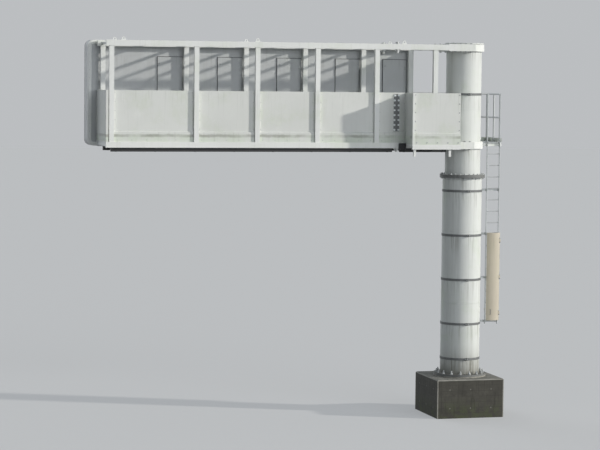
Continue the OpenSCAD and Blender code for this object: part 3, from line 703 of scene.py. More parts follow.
def place_mesh(name, places, spins=None):
    """Base mesh of points, each with its axis and its turn about it."""
    mesh = new_mesh(name, [point for point, _ in places])
    axes = mesh.attributes.new("axis", "FLOAT_VECTOR", "POINT")
    axes.data.foreach_set("vector", [c for _, axis in places for c in axis])
    draw = random.Random(len(places))
    turns = spins or [draw.uniform(0, math.tau) for _ in places]
    spin = mesh.attributes.new("spin", "FLOAT", "POINT")
    spin.data.foreach_set("value", turns)
    return mesh


def hex_fixings(name, places, flats, stud, height=0.62, slot="galvanised", finish="fixing"):
    """Hexagon fixings of one size, all sizes in proportion to the width across flats."""
    lengths = {
        "Across flats": flats,
        "Height": flats * height,
        "Washer": flats * 1.75,
        "Washer thickness": flats * 0.12,
        "Stud": flats * stud,
    }
    build(name, place_mesh(name, places), hex_fixing_tree, lengths, slot, finish)


def dome_heads(name, places, across, height=0.34, slot="galvanised", finish="fixing", body=GANTRY):
    """Domed heads of one size, their height in proportion to their width."""
    lengths = {"Diameter": across, "Height": across * height}
    build(name, place_mesh(name, places), dome_head_tree, lengths, slot, finish, body)


def weld_beads(name, loops, bead, slot):
    """Beads along closed loops of points."""
    points, edges = [], []
    for loop in loops:
        first = len(points)
        points += loop
        edges += [(first + i, first + (i + 1) % len(loop)) for i in range(len(loop))]
    lengths = {"Bead": bead, "Step": bead * 1.3, "Ripple": bead * 0.35}
    build(name, new_mesh(name, points, edges), weld_bead_tree, lengths, slot)


def end_loops(node, along):
    """Loops round both ends of each solid of a node whose length lies along an axis."""
    u, v = [axis for axis in range(3) if axis != along]
    loops = []
    for a, b in solid_boxes(node):
        for end in (a, b):
            loop = []
            for at_u, at_v in ((a, a), (b, a), (b, b), (a, b)):
                point = [end[along]] * 3
                point[u], point[v] = at_u[u], at_v[v]
                loop.append(point)
            loops.append(loop)
    return loops


def blocks(name, boxes, bevel, slot, finish=None):
    """Small blocks with bevelled edges, as one piece."""
    sides = [(0, 2, 3, 1), (4, 5, 7, 6), (0, 1, 5, 4), (1, 3, 7, 5), (3, 2, 6, 7), (2, 0, 4, 6)]
    points, faces = [], []
    for a, b in boxes:
        first = len(points)
        points += [(x, y, z) for z in (a[2], b[2]) for y in (a[1], b[1]) for x in (a[0], b[0])]
        faces += [[first + corner for corner in side] for side in sides]
    obj = new_object(name, new_mesh(name, points, [], faces, FINISHES[finish or slot]))
    modifier = obj.modifiers.new("Edges", "BEVEL")
    modifier.width = bevel
    modifier.segments = 2
    keep(settle(obj), GANTRY)


def bars(name, paths, radius, slot, finish=None, body=GANTRY):
    """Round bars along the given paths."""
    curve = bpy.data.curves.new(name, "CURVE")
    curve.dimensions = "3D"
    curve.bevel_depth = radius
    curve.bevel_resolution = 3
    curve.use_fill_caps = True
    for path in paths:
        spline = curve.splines.new("POLY")
        spline.points.add(len(path) - 1)
        for point, co in zip(spline.points, path):
            point.co = (*co, 1.0)
    source = new_object(name + "_path", curve)
    mesh = evaluated_mesh(source)
    bpy.data.objects.remove(source)
    mesh.name = name
    mesh.materials.clear()
    mesh.materials.append(FINISHES[finish or slot])
    mesh.polygons.foreach_set("use_smooth", [True] * len(mesh.polygons))
    keep(new_object(name, mesh), body)


def bent(path, radius, steps=5):
    """A path with its inner corners rounded."""
    points = [Vector(p) for p in path]
    out = [points[0]]
    for before, corner, after in zip(points, points[1:], points[2:]):
        start = corner + (before - corner).normalized() * radius
        end = corner + (after - corner).normalized() * radius
        for i in range(steps + 1):
            t = i / steps
            out.append(start.lerp(corner, t).lerp(corner.lerp(end, t), t))
    return [*out, points[-1]]


def skin(near, far):
    """Quads between two rings of as many points."""
    after = [*range(1, len(near)), 0]
    return [(near[i], near[j], far[j], far[i]) for i, j in enumerate(after)]


def duct_straps(name, ducts, wide, thick, slot):
    """Straps that pass under each duct and up its sides, about a metre apart."""
    end, pitch = 0.12, 1.0
    points, faces = [], []
    for a, b in ducts:
        outline = [
            (a.y - thick, b.z), (a.y - thick, a.z - thick), (b.y + thick, a.z - thick),
            (b.y + thick, b.z), (b.y, b.z), (b.y, a.z), (a.y, a.z), (a.y, b.z),
        ]
        for strap, _ in level(a.x + end, b.x - end, 0, 0, pitch, DOWN):
            near = range(len(points), len(points) + len(outline))
            far = [i + len(outline) for i in near]
            for x in (strap.x - wide / 2, strap.x + wide / 2):
                points += [(x, *point) for point in outline]
            faces += [near[::-1], far, *skin(near, far)]
    keep(new_object(name, new_mesh(name, points, [], faces, FINISHES[slot])), GANTRY)


def edge_trim(name, node, slot):
    """Pressed strip round the rear edge of the sign housing."""
    a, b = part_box(node)
    radius, steps = 0.15, 10
    wide, thick, lip, slope, deep, gap = 0.095, 0.012, 0.003, 0.018, 0.04, 0.0005
    profile = [
        (-wide, -lip), (-wide + slope, -thick), (-slope, -thick), (lip, -lip), (lip, deep),
        (gap, deep), (gap, -gap), (-wide, -gap),
    ]
    centres = [
        (b.x - radius, b.z - radius), (a.x + radius, b.z - radius),
        (a.x + radius, a.z + radius), (b.x - radius, a.z + radius),
    ]
    points = []
    for quarter, (x, z) in enumerate(centres):
        for i in range(steps + 1):
            angle = math.pi / 2 * (quarter + i / steps)
            for out, back in profile:
                reach = radius + out
                points.append((x + math.cos(angle) * reach, a.y + back, z + math.sin(angle) * reach))
    sides = len(profile)
    rings = [range(first, first + sides) for first in range(0, len(points), sides)]
    faces = []
    for near, far in zip(rings, rings[1:] + rings[:1]):
        faces += skin(near, far)
    keep(new_object(name, new_mesh(name, points, [], faces, FINISHES[slot])), GANTRY)


def guard_front(x):
    """Outer face of the bowed guard at a place along X."""
    half, bow = 0.18, 0.05
    r = (half * half + bow * bow) / (2 * bow)
    return HINGE_Y - bow + r - math.sqrt(r * r - (x - HINGE_X + half) ** 2)


# Settings


class GantryFinishSettings(bpy.types.PropertyGroup):
    """Colours of the finishes."""

    frame: FloatVectorProperty(
        name="Frame paint", description="Paint of the boom frames and collars",
        subtype="COLOR", default=(0.81, 0.82, 0.797), min=0, max=1)
    column: FloatVectorProperty(
        name="Column paint", description="Paint of the column and its flanges",
        subtype="COLOR", default=(0.68, 0.70, 0.675), min=0, max=1)
    panel: FloatVectorProperty(
        name="Panel paint", description="Paint of the parapet panels",
        subtype="COLOR", default=(0.70, 0.712, 0.682), min=0, max=1)
    # Painted shade: set darker than the sign's pale paint, as its back looks in the shade behind the
    # walkway.
    sign: FloatVectorProperty(
        name="Sign paint", description="Paint of the sign housing and its doors",
        subtype="COLOR", default=(0.52, 0.535, 0.54), min=0, max=1)
    guard: FloatVectorProperty(
        name="Guard paint", description="Paint of the ladder guard",
        subtype="COLOR", default=(0.56, 0.505, 0.405), min=0, max=1)
    zinc: FloatVectorProperty(
        name="Galvanising", description="Galvanised steel",
        subtype="COLOR", default=(0.50, 0.52, 0.52), min=0, max=1)
    # Partly painted shade: set darker than the damp concrete itself, as the plinth's sides look in
    # shade.
    concrete: FloatVectorProperty(
        name="Concrete", description="Sides of the plinth",
        subtype="COLOR", default=(0.043, 0.041, 0.034), min=0, max=1)
    soil: FloatVectorProperty(
        name="Dirt", description="Road dirt that runs down the paint",
        subtype="COLOR", default=(0.17, 0.165, 0.135), min=0, max=1)


class GantryFixingSettings(bpy.types.PropertyGroup):
    """Sizes and numbers of the fixings."""

    anchor_count: IntProperty(
        name="Anchor bolts", description="Number of anchor bolts", default=16, min=8, max=32)
    anchor_size: FloatProperty(
        name="Anchor nut", description="Width across flats", default=0.055, unit="LENGTH")
    joint_count: IntProperty(
        name="Joint bolts", description="Bolts round the column's joint", default=28, min=12, max=40)
    joint_size: FloatProperty(
        name="Joint nut", description="Width across flats", default=0.036, unit="LENGTH")
    frame_size: FloatProperty(
        name="Frame bolt", description="Width across flats", default=0.030, unit="LENGTH")
    strip_pitch: FloatProperty(
        name="Strip pitch", description="Distance between bolts of the cover strip",
        default=0.118, unit="LENGTH")
    rivet_pitch: FloatProperty(
        name="Rivet pitch", description="Distance between rivets of the panels",
        default=0.20, unit="LENGTH")
    rivet_size: FloatProperty(
        name="Rivet head", description="Diameter of a rivet head", default=0.018, unit="LENGTH")
    bead: FloatProperty(
        name="Weld bead", description="Width of the weld beads", default=0.011, unit="LENGTH")


class GantryDisplaySettings(bpy.types.PropertyGroup):
    """The lamp grid of the sign."""

    lamp_pitch: FloatProperty(
        name="Lamp pitch", description="Distance between lamps", default=0.080, unit="LENGTH")
    lamp_size: FloatProperty(
        name="Lamp", description="Diameter of a lamp", default=0.034, unit="LENGTH")
    lamps_in_module: IntProperty(
        name="Lamps in a module", description="Lamps along a module's side", default=6, min=2, max=12)


class GantryStageSettings(bpy.types.PropertyGroup):
    """Camera and lights."""

    eye: FloatVectorProperty(
        name="Eye", description="Place of the camera", subtype="XYZ", unit="LENGTH",
        default=(-19.1, -53.9, 8.63))
    aim: FloatVectorProperty(
        name="Aim", description="Point that the camera looks at", subtype="XYZ", unit="LENGTH",
        default=(-4.35, 0.0, 4.95))
    roll: FloatProperty(
        name="Roll", description="Turn of the camera about its view", subtype="ANGLE",
        default=math.radians(0.6))
    lens: FloatProperty(
        name="Lens", description="Focal length in millimetres", default=132.0)
    key: FloatVectorProperty(
        name="Key direction", description="Towards the key light", subtype="DIRECTION",
        default=(0.86, -0.40, 0.31))
    key_strength: FloatProperty(name="Key strength", description="Sun lamp", default=2.8)
    fill_strength: FloatProperty(name="Fill strength", description="Soft lamp", default=1.0)
    back_strength: FloatProperty(
        name="Back strength", description="Soft lamp on the display side", default=0.9)
    sky_strength: FloatProperty(name="Sky strength", description="World light", default=0.26)


# Operators


class GANTRY_OT_finishes(bpy.types.Operator):
    """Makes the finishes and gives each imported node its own."""

    bl_idname = "gantry.finishes"
    bl_label = "Finishes"

    def execute(self, context):
        colours = context.scene.gantry_finish
        soil, steel = colours.soil, colours.zinc
        soot = (0.07, 0.065, 0.055)
        ledges = sorted({round(a.z, 3) for a, _ in solid_boxes("column_bands")})
        ledges += [low(node).z for node in ("lower_flange", "bottom_collar", "top_collar")]
        foot, top = low("parapet_panel_1").z, high("parapet_panel_1").z
        sign_ledges = [high("sign_housing").z - 0.03, high("sign_doors").z + 0.02]
        guard_ledges = [high("ladder_guard").z - 0.02]
        FINISHES.update(
            # The plinth's dark sides and lighter upper top paint shade and light; pale paints the top
            # arrises' highlight and the tie plugs.
            concrete=concrete(
                "Concrete", colours.concrete, pale=(0.42, 0.41, 0.37),
                upper=(0.24, 0.235, 0.21)),
            grout=grout("Grout", (0.36, 0.35, 0.31)),
            # Partly painted shade: the dark base steel carries rust and weathering, and also the
            # shade on the base plate and the column's joint flanges.
            base_steel=paint(
                "Base steel paint", (0.17, 0.175, 0.17), (0.085, 0.075, 0.06), amount=1.0,
                gloss=0.5, rust=1.0),
            # Partly painted shade: the ducts' near-black paint stands in for the deep shade under the
            # chords.
            duct=paint("Duct paint", (0.022, 0.023, 0.024), soot, amount=0.4, gloss=0.55),
            column_paint=column_paint("Column paint", colours.column, soil, ledges),
            frame_paint=paint(
                "Frame paint", colours.frame, soil, amount=0.42,
                ledges=[top + 0.02, foot - 0.17], reach=0.5, rust=0.25, algae=0.25),
            panel_paint=paint(
                "Panel paint", colours.panel, soil, amount=0.24,
                ledges=[top - 0.02, foot + 0.26], reach=0.55, flex=0.006, rust=0.12,
                algae=0.30, foot=foot),
            # The sign's darker colour paints the shade of the walkway recess.
            sign_paint=paint(
                "Sign paint", colours.sign, soil, amount=0.35, ledges=sign_ledges, reach=0.5,
                flex=0.004, algae=0.1),
            display=display_face(
                "Lamp boards", (0.010, 0.010, 0.011), *lamp_field(context.scene.gantry_display)),
            lamp=lamp_glass("Lamp glass"),
            bezel=paint("Bezel paint", (0.020, 0.020, 0.022), soot, amount=0.6, gloss=0.5),
            galvanised=zinc("Galvanised steel", steel),
            # Partly painted shade: the strap zinc is darkened for weathering and also to carry the
            # shadow lines at the column's bands.
            band_steel=zinc("Weathered strap", shade(steel, 0.36), metal=0.45, rust=0.6, gloss=0.50),
            fixing=zinc("Galvanised fixings", shade(steel, 0.92), metal=0.6, rust=0.45, gloss=0.42),
            guard_paint=paint(
                "Guard paint", colours.guard, soil, amount=0.7, ledges=guard_ledges, reach=0.9,
                gloss=0.45, flex=0.003, rust=0.8, algae=0.2),
            # Painted shade and highlight: the cover strip's zinc is darkened as if in the bay's
            # shadow, and its bolts are lightened and dulled to read as lit spots.
            strip=zinc("Cover strip zinc", shade(steel, 0.44), metal=0.4, rust=0.35, gloss=0.50),
            bright=zinc("New fixings", shade(steel, 1.75), metal=0.12, rust=0.06, gloss=0.42),
            rubber=rubber("Seal rubber"),
        )
        for part in FRAME["record"]["subparts"]:
            node = part["node"]
            finish = "strip" if node == "splice_strip" else part["material_slot"]
            mesh = FRAME["nodes"][node].data
            mesh.materials.clear()
            mesh.materials.append(FINISHES[finish])
        return {"FINISHED"}


class GANTRY_OT_column_fixings(bpy.types.Operator):
    """Anchor bolts, joint bolts, cap bolts and the bolts of the clamp bands."""

    bl_idname = "gantry.column_fixings"
    bl_label = "Column fixings"

    def execute(self, context):
        sizes = context.scene.gantry_fixing
        base, cap, tube = high("base_plate"), high("column_cap"), high("lower_column").x
        radius = (base.x + tube) / 2 + 0.005
        anchors = ring(sizes.anchor_count, radius, base.z, UP, turn=0.1)
        hex_fixings("anchor_bolts", anchors, sizes.anchor_size, stud=0.75, height=0.8)
        upper, lower = high("upper_flange").z, low("lower_flange").z
        radius = (high("lower_flange").x + tube) / 2
        joint = ring(sizes.joint_count, radius, upper, UP)
        joint += ring(sizes.joint_count, radius, lower, DOWN)
        hex_fixings("joint_bolts", joint, sizes.joint_size, stud=0.18)
        count, edge = 12, 0.075
        lid_bolts = ring(count, cap.x - edge, cap.z, UP)
        hex_fixings("cap_bolts", lid_bolts, flats=0.019, stud=0.1, height=0.4)
        ear_face, inset = 0.014, 0.020
        ears = []
        for a, b in solid_boxes("column_bands"):
            z = (a.z + b.z) / 2
            for y in (a.y + inset, b.y - inset):
                ears += [place(ear_face, y, z, VERGE), place(-ear_face, y, z, ROAD)]
        hex_fixings("band_bolts", ears, flats=0.024, stud=0.5, slot="band_steel")
        return {"FINISHED"}


class GANTRY_OT_frame_fixings(bpy.types.Operator):
    """Bolts of the collars, the splice, its cover strip and the sign's cleats."""

    bl_idname = "gantry.frame_fixings"
    bl_label = "Frame fixings"

    def execute(self, context):
        sizes = context.scene.gantry_fixing
        start, end, pitch, edge = -0.58, -0.02, 0.14, 0.025
        chords = [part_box("near_bottom_chord"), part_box("far_bottom_chord")]
        lines = [y for a, b in chords for y in (a.y + edge, b.y - edge)]
        collars = []
        for node in ("bottom_collar", "top_collar"):
            for y in lines:
                collars += level(start, end, y, high(node).z, pitch, UP)
                collars += level(start, end, y, low(node).z, pitch, DOWN)
        hex_fixings("collar_bolts", collars, sizes.frame_size, stud=0.25, slot="frame_paint")
        plate, gap, half, foot, top = 0.015, 0.0003, 0.036, 0.045, 0.026
        splice = []
        for node, x, axis in (
            ("stub_end_plates", low("stub_end_plates").x + plate, VERGE),
            ("boom_end_plates", high("boom_end_plates").x + gap - plate, ROAD),
        ):
            for a, b in solid_boxes(node):
                y = (a.y + b.y) / 2
                heights = [a.z + foot]
                if b.z > high("near_top_chord").z:
                    heights.append(b.z - top)
                splice += [place(x, y + dy, z, axis) for dy in (-half, half) for z in heights]
        hex_fixings("splice_bolts", splice, sizes.frame_size, stud=0.3, slot="frame_paint")
        a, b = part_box("splice_strip")
        inset, foot = 0.022, 0.04
        strip = []
        for x in (a.x + inset, b.x - inset):
            strip += upright(x, a.y, a.z + foot, b.z - foot, sizes.strip_pitch, REAR)
        # The strip's bolts take the lightened finish: painted highlight.
        hex_fixings("strip_bolts", strip, flats=0.031, stud=0.2, finish="bright")
        cleats = []
        for a, b in solid_boxes("sign_brackets"):
            y, z = (a.y + b.y) / 2, (a.z + b.z) / 2
            cleats += [place(a.x, y, z, ROAD), place(b.x, y, z, VERGE)]
        hex_fixings("cleat_bolts", cleats, flats=0.024, stud=0.3, slot="frame_paint")
        return {"FINISHED"}


class GANTRY_OT_boom_fittings(bpy.types.Operator):
    """Caps of the chords' ends, straps of the ducts and the joint box at the splice."""

    bl_idname = "gantry.boom_fittings"
    bl_label = "Boom fittings"

    def execute(self, context):
        wall, sunk = 0.007, 0.001
        caps = []
        for chord in ("near_top_chord", "near_bottom_chord", "far_top_chord", "far_bottom_chord"):
            a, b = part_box(chord)
            foot, top = (a.y + wall, a.z + wall), (b.y - wall, b.z - wall)
            caps.append(((b.x - wall, *foot), (b.x - sunk, *top)))
            caps.append(((a.x + sunk, *foot), (a.x + wall, *top)))
        blocks("chord_caps", caps, bevel=0.0015, slot="frame_paint")
        ducts = solid_boxes("cable_ducts")
        # The straps take the ducts' near-black paint, which partly paints the shade under the chords.
        duct_straps("duct_straps", ducts, wide=0.036, thick=0.003, slot="duct")
        chord = low("near_bottom_chord")
        x0 = low("stub_end_plates").x + 0.045
        x1, z0, z1 = x0 + 0.170, chord.z - 0.030, chord.z + 0.125
        box_y, seam_y, lid_y = chord.y - 0.060, chord.y - 0.058, chord.y - 0.068
        rim, inset = 0.006, 0.012
        box = ((x0, box_y, z0), (x1, chord.y, z1))
        lid = ((x0 - rim, lid_y, z0 - rim), (x1 + rim, seam_y, z1 + rim))
        # The joint box is near-black too, partly painting the shade at the splice under the bay.
        blocks("joint_box", [box, lid], bevel=0.004, slot="duct")
        corners = [(x, z) for x in (x0 + inset, x1 - inset) for z in (z0 + inset, z1 - inset)]
        screws = [place(x, lid_y, z, REAR) for x, z in corners]
        dome_heads("joint_box_screws", screws, across=0.012)
        y, top, foot, aside = chord.y - 0.03, z0 + 0.004, z0 - 0.030, 0.04
        glands = [[(x, y, top), (x, y, foot)] for x in (x0 + aside, x1 - aside)]
        bars("joint_box_glands", glands, radius=0.013, slot="duct", finish="rubber")
        return {"FINISHED"}


class GANTRY_OT_panel_fixings(bpy.types.Operator):
    """Rivets of the parapet panels, the landing bay and the sign's back."""

    bl_idname = "gantry.panel_fixings"
    bl_label = "Panel fixings"

    def execute(self, context):
        sizes = context.scene.gantry_fixing
        pitch = sizes.rivet_pitch
        lap, kick, fold, edge = 0.030, 0.05, 0.05, 0.05
        sheet, above, side = low("splice_strip").y + 0.0053, 0.32, 0.08
        rivets = []
        for number in range(1, 6):
            a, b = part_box(f"parapet_panel_{number}")
            for x in (a.x + lap, b.x - lap):
                rivets += upright(x, sheet, a.z + above, b.z - fold, pitch, REAR)
            rivets += level(a.x + side, b.x - side, a.y, a.z + kick, pitch=0.36, axis=REAR)
        a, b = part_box("bay_rear_panel")
        middle, sheet, above, side = (a.x + b.x) / 2, a.y + 0.025, 0.36, 0.06
        bolts = level(a.x + side, b.x - side, a.y, a.z + kick, pitch=0.28, axis=REAR)
        for x in (a.x + lap, b.x - lap):
            bolts += upright(x, sheet, a.z + above, b.z - fold, pitch, REAR)
        hex_fixings("bay_bolts", bolts, flats=0.019, stud=0.25)
        foot, top = 0.10, 0.06
        for a, b in solid_boxes("bay_side_panels"):
            x, axis = (a.x, ROAD) if a.x < middle else (b.x, VERGE)
            for y in (a.y + edge, b.y - edge):
                rivets += upright(x, y, a.z + foot, b.z - top, pitch, axis)
        a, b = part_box("end_parapet")
        z, side, corner = a.z + kick, 0.08, 0.12
        for y in (a.y + side, b.y - side):
            rivets += upright(a.x, y, z, b.z - fold, pitch, ROAD)
        rivets += row((a.x, a.y + corner, z), (a.x, b.y - corner, z), pitch=0.24, axis=ROAD)
        dome_heads("panel_rivets", rivets, sizes.rivet_size)
        a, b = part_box("sign_housing")
        corner, inset, proud = 0.16, 0.047, 0.012
        end_pitch, long_pitch = 0.24, 0.3
        rivets = edge_rows(a, b, a.y - proud, inset, corner, pitch=0.2, axis=REAR)
        for x, axis in ((a.x, ROAD), (b.x, VERGE)):
            for y in (a.y + edge, b.y - edge):
                rivets += upright(x, y, a.z + corner, b.z - corner, end_pitch, axis)
        for z, axis in ((a.z, DOWN), (b.z, UP)):
            for y in (a.y + edge, b.y - edge):
                rivets += level(a.x + corner, b.x - corner, y, z, long_pitch, axis)
        dome_heads("sign_rivets", rivets, across=0.014, slot="sign_paint", finish="sign_paint")
        edge_trim("sign_edge_trim", "sign_housing", "frame_paint")
        return {"FINISHED"}


class GANTRY_OT_welds(bpy.types.Operator):
    """Weld beads of the column, the collars and the boom frames."""

    bl_idname = "gantry.welds"
    bl_label = "Weld beads"

    def execute(self, context):
        bead = context.scene.gantry_fixing.bead
        thin_bead = bead * 0.8
        tube, mast = high("lower_column").x, high("upper_column").x
        proud, tube_seams, mast_seam = 0.001, (2.92, 4.78), 7.93
        loops = [circle(tube, high("base_plate").z), circle(tube, low("lower_flange").z)]
        loops += [circle(tube + proud, seam) for seam in tube_seams]
        loops += [circle(mast, high("upper_flange").z), circle(mast, mast_seam)]
        for node in ("bottom_collar", "top_collar"):
            loops += [circle(mast + proud, end.z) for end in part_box(node)]
        weld_beads("column_welds", loops, bead, "column_paint")
        loops = end_loops("near_posts", 2) + end_loops("far_posts", 2) + end_loops("cross_bars", 1)
        weld_beads("frame_welds", loops, thin_bead, "frame_paint")
        weld_beads("floor_beam_welds", end_loops("floor_beams", 1), thin_bead, "galvanised")
        return {"FINISHED"}


class GANTRY_OT_tread(bpy.types.Operator):
    """Raised tread pattern on the floor pans."""

    bl_idname = "gantry.tread"
    bl_label = "Tread pattern"

    def execute(self, context):
        pitch, rim = 0.050, 0.022
        places, spins = [], []
        for floor in ("walkway_floor", "bay_floor", "landing_floor"):
            for a, b in solid_boxes(floor):
                columns = int((b.x - a.x - 2 * rim) / pitch)
                rows = int((b.y - a.y - 2 * rim) / pitch)
                x0 = (a.x + b.x - columns * pitch) / 2
                y0 = (a.y + b.y - rows * pitch) / 2
                for i in range(columns + 1):
                    for j in range(rows + 1):
                        places.append(place(x0 + i * pitch, y0 + j * pitch, b.z, UP))
                        spins.append(math.radians(45 if (i + j) % 2 else -45))
        mesh = place_mesh("tread_studs", places, spins)
        lengths = {"Length": 0.034, "Width": 0.011, "Height": 0.002}
        build("tread_studs", mesh, tread_stud_tree, lengths, "galvanised")
        return {"FINISHED"}


class GANTRY_OT_sign_doors(bpy.types.Operator):
    """Hinges, seals, handles and locks of the doors in the sign's back."""

    bl_idname = "gantry.sign_doors"
    bl_label = "Sign door fittings"

    def execute(self, context):
        plate, seal, seal_thick = 0.004, 0.012, 0.010
        hinge_inset, barrel_half, leaf_wide, leaf_half = 0.22, 0.05, 0.055, 0.04
        handle_inset, wide, tall, reach, lever_long = 0.06, 0.022, 0.09, 0.032, 0.125
        lock_inset, lock_proud = 0.16, 0.002
        barrels, plates, seals, grips, locks = [], [], [], [], []
        for a, b in solid_boxes("sign_doors"):
            middle = (a.z + b.z) / 2
            x, y = b.x + 0.004, a.y - 0.003
            for z in (a.z + hinge_inset, middle, b.z - hinge_inset):
                barrels.append([(x, y, z - barrel_half), (x, y, z + barrel_half)])
                foot, top = z - leaf_half, z + leaf_half
                plates.append(((b.x - leaf_wide, a.y - plate, foot), (b.x, a.y, top)))
            for x0, x1, z0, z1 in (
                (a.x - seal, b.x + seal, b.z, b.z + seal),
                (a.x - seal, b.x + seal, a.z - seal, a.z),
                (a.x - seal, a.x, a.z, b.z),
                (b.x, b.x + seal, a.z, b.z),
            ):
                seals.append(((x0, b.y - seal_thick, z0), (x1, b.y, z1)))
            x, y = a.x + handle_inset, a.y - reach
            plates.append(((x - wide, a.y - plate, middle - tall), (x + wide, a.y, middle + tall)))
            lever = [(x, a.y, middle), (x, y, middle), (x + lever_long, y, middle)]
            grips.append(bent(lever, radius=0.012))
            for z in (a.z + lock_inset, b.z - lock_inset):
                locks.append(place(x, a.y - lock_proud, z, REAR))
        bars("door_hinges", barrels, radius=0.009, slot="galvanised", finish="fixing")
        blocks("door_plates", plates, bevel=0.0012, slot="galvanised", finish="fixing")
        blocks("door_seals", seals, bevel=0.002, slot="bezel", finish="rubber")
        bars("door_handles", grips, radius=0.008, slot="galvanised", finish="fixing")
        dome_heads("door_locks", locks, across=0.038)
        return {"FINISHED"}


class GANTRY_OT_display(bpy.types.Operator):
    """Lamp grid on the display side, and the bezel's screws."""

    bl_idname = "gantry.display"
    bl_label = "Lamp grid"

    def execute(self, context):
        grid = context.scene.gantry_display
        pitch = grid.lamp_pitch
        a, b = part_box("sign_face")
        _, x0, z0 = lamp_field(grid)
        columns = round((a.x + b.x - 2 * x0) / pitch)
        rows = round((a.z + b.z - 2 * z0) / pitch)
        lamps = [
            place(x0 + (i + 0.5) * pitch, b.y, z0 + (j + 0.5) * pitch, FRONT)
            for i in range(columns)
            for j in range(rows)
        ]
        dome_heads("lamp_grid", lamps, grid.lamp_size, height=0.5, slot="display", finish="lamp")
        a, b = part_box("sign_bezel")
        inset, corner = 0.05, 0.16
        screws = edge_rows(a, b, b.y, inset, corner, pitch=0.3, axis=FRONT)
        dome_heads("bezel_screws", screws, across=0.020, slot="bezel")
        return {"FINISHED"}


class GANTRY_OT_ladder(bpy.types.Operator):
    """Fittings of the ladder, its guard and the access landing."""

    bl_idname = "gantry.ladder"
    bl_label = "Ladder fittings"

    def execute(self, context):
        inset, arms = 0.036, solid_boxes("ladder_brackets")
        lines = [b.x - inset for _, b in solid_boxes("ladder_stiles")]
        bolts = [place(x, b.y, (a.z + b.z) / 2, FRONT) for a, b in arms for x in lines]
        hex_fixings("bracket_bolts", bolts, flats=0.024, stud=0.3)
        half_leaf, x, y, half = 0.05, HINGE_X - 0.050, 0.1285, 0.022
        leaves = [b.z - half_leaf for _, b in solid_boxes("guard_hinges")]
        rivets = [place(x, y, z + dz, REAR) for z in leaves for dz in (-half, half)]
        slot = "band_steel"
        dome_heads("guard_rivets", rivets, across=0.016, slot=slot, finish=slot, body=GUARD)
        x, z0 = HINGE_X - 0.26, low("ladder_guard").z + 0.16
        y, z1, depth = guard_front(x), z0 + 0.13, 0.035
        grip = [(x, y, z0), (x, y - depth, z0), (x, y - depth, z1), (x, y, z1)]
        bars("guard_handle", [bent(grip, radius=0.015)], radius=0.007, slot=slot, body=GUARD)
        half = 0.021
        a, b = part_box("landing_side_rail")
        floor = a.z
        feet = [(x, (a.y + b.y) / 2) for x in spaced(a.x + half, b.x - half, bays=3)]
        a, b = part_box("landing_end_rail")
        feet += [((a.x + b.x) / 2, y) for y in spaced(a.y + half, b.y - half, bays=2)]
        thick, reach, hole = 0.008, 0.045, 0.034
        plates = [
            ((x - reach, y - half, floor), (x + reach, y + half, floor + thick)) for x, y in feet
        ]
        blocks("rail_feet", plates, bevel=0.002, slot="galvanised")
        bolts = [place(x + dx, y, floor + thick, UP) for x, y in feet for dx in (-hole, hole)]
        hex_fixings("rail_foot_bolts", bolts, flats=0.016, stud=0.2)
        return {"FINISHED"}


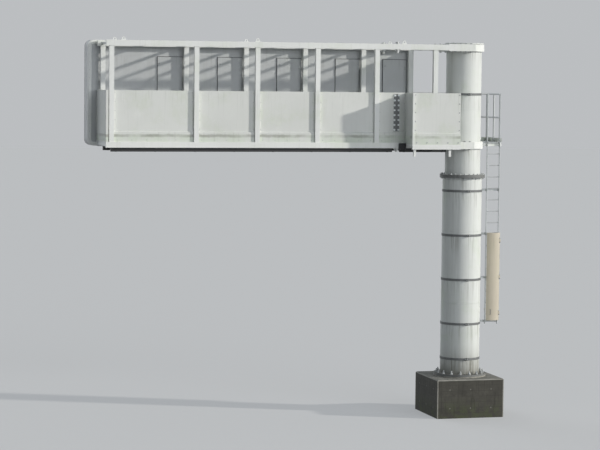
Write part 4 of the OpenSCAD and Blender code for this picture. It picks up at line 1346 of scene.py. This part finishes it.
class GANTRY_OT_stage(bpy.types.Operator):
    """Floor, lights, world and camera."""

    bl_idname = "gantry.stage"
    bl_label = "Stage"

    def execute(self, context):
        scene = context.scene
        settings = scene.gantry_stage
        pale = (0.50, 0.515, 0.53, 1)
        self.floor(pale)
        self.world(scene, pale, settings.sky_strength)
        warm, cool, cooler = (1.0, 0.965, 0.90), (0.95, 0.97, 1.0), (0.93, 0.97, 1.0)
        fill, back = (0.35, -0.90, 0.26), (-0.35, 0.90, 0.30)
        self.sun("Key", settings.key, settings.key_strength, warm, spread=2.0)
        self.sun("Fill", fill, settings.fill_strength, cool, spread=45.0)
        self.sun("Back", back, settings.back_strength, cooler, spread=50.0)
        data = bpy.data.cameras.new("Camera")
        data.lens = settings.lens
        data.sensor_width = 36.0
        data.clip_end = 400.0
        camera = new_object("Camera", data)
        view = Vector(settings.aim) - Vector(settings.eye)
        camera.rotation_mode = "QUATERNION"
        camera.rotation_quaternion = view.to_track_quat("-Z", "Y") @ Quaternion(UP, settings.roll)
        camera.location = settings.eye
        scene.camera = camera
        scene.view_settings.view_transform = "Standard"
        return {"FINISHED"}

    @staticmethod
    def sun(name, towards, strength, colour, spread):
        """A sun lamp; its spread is in degrees."""
        data = bpy.data.lights.new(name, "SUN")
        data.energy = strength
        data.angle = math.radians(spread)
        data.color = colour
        lamp = new_object(name, data)
        lamp.rotation_mode = "QUATERNION"
        lamp.rotation_quaternion = Vector(towards).to_track_quat("Z", "Y")

    @staticmethod
    def floor(pale):
        """Pale floor, lifted for the camera and for gloss, that keeps its shadows."""
        size, own, lift = 220.0, (0.36, 0.36, 0.36, 1), 0.531
        material = bpy.data.materials.new("Floor")
        material.use_nodes = True
        graph = Graph(material.node_tree)
        matt = graph.node("ShaderNodeBsdfDiffuse", {"Color": own})[0]
        glow = {"Color": pale, "Strength": graph.seen() * lift}
        both = {0: matt, 1: graph.node("ShaderNodeEmission", glow)[0]}
        sum_of_both = graph.node("ShaderNodeAddShader", both)[0]
        graph.node("ShaderNodeOutputMaterial", {"Surface": sum_of_both})
        corners = [(-size, -size, 0), (size, -size, 0), (size, size, 0), (-size, size, 0)]
        mesh = new_mesh("Floor", corners, [], [(0, 1, 2, 3)], material)
        new_object("Floor", mesh)

    @staticmethod
    def world(scene, pale, strength):
        """Even sky light, with a pale ground of its own for the camera and for gloss."""
        world = bpy.data.worlds.new("World")
        world.use_nodes = True
        graph = Graph(world.node_tree)
        light = {"Color": (0.80, 0.90, 1.0, 1), "Strength": strength}
        sky = graph.node("ShaderNodeBackground", light)[0]
        ground = graph.node("ShaderNodeBackground", {"Color": pale, "Strength": 1.0})[0]
        both = graph.node("ShaderNodeMixShader", {0: graph.seen(), 1: sky, 2: ground})[0]
        graph.node("ShaderNodeOutputWorld", {"Surface": both})
        scene.world = world


class GANTRY_PT_panel(bpy.types.Panel):
    """Lists the settings and the build steps."""

    bl_idname = "GANTRY_PT_panel"
    bl_label = "Sign gantry"
    bl_space_type = "VIEW_3D"
    bl_region_type = "UI"
    bl_category = "Gantry"

    def draw(self, context):
        layout = self.layout
        for group in SETTINGS:
            settings = getattr(context.scene, group)
            box = layout.box()
            for name in settings.bl_rna.properties.keys():
                if name not in {"rna_type", "name"}:
                    box.prop(settings, name)
        for step in STEPS:
            layout.operator(step.bl_idname)


SETTINGS = {
    "gantry_finish": GantryFinishSettings,
    "gantry_fixing": GantryFixingSettings,
    "gantry_display": GantryDisplaySettings,
    "gantry_stage": GantryStageSettings,
}
STEPS = [
    GANTRY_OT_finishes,
    GANTRY_OT_column_fixings,
    GANTRY_OT_frame_fixings,
    GANTRY_OT_boom_fittings,
    GANTRY_OT_panel_fixings,
    GANTRY_OT_welds,
    GANTRY_OT_tread,
    GANTRY_OT_sign_doors,
    GANTRY_OT_display,
    GANTRY_OT_ladder,
    GANTRY_OT_stage,
]


def register():
    for group, kind in SETTINGS.items():
        bpy.utils.register_class(kind)
        setattr(bpy.types.Scene, group, PointerProperty(type=kind))
    for kind in [*STEPS, GANTRY_PT_panel]:
        bpy.utils.register_class(kind)


def unregister():
    for kind in reversed([*STEPS, GANTRY_PT_panel]):
        bpy.utils.unregister_class(kind)
    for group, kind in reversed(SETTINGS.items()):
        delattr(bpy.types.Scene, group)
        bpy.utils.unregister_class(kind)


def main():
    register()
    for step in STEPS:
        module, name = step.bl_idname.split(".")
        if getattr(getattr(bpy.ops, module), name)() != {"FINISHED"}:
            raise RuntimeError(f"{step.bl_label} did not finish")


if __name__ == "__main__":
    main()
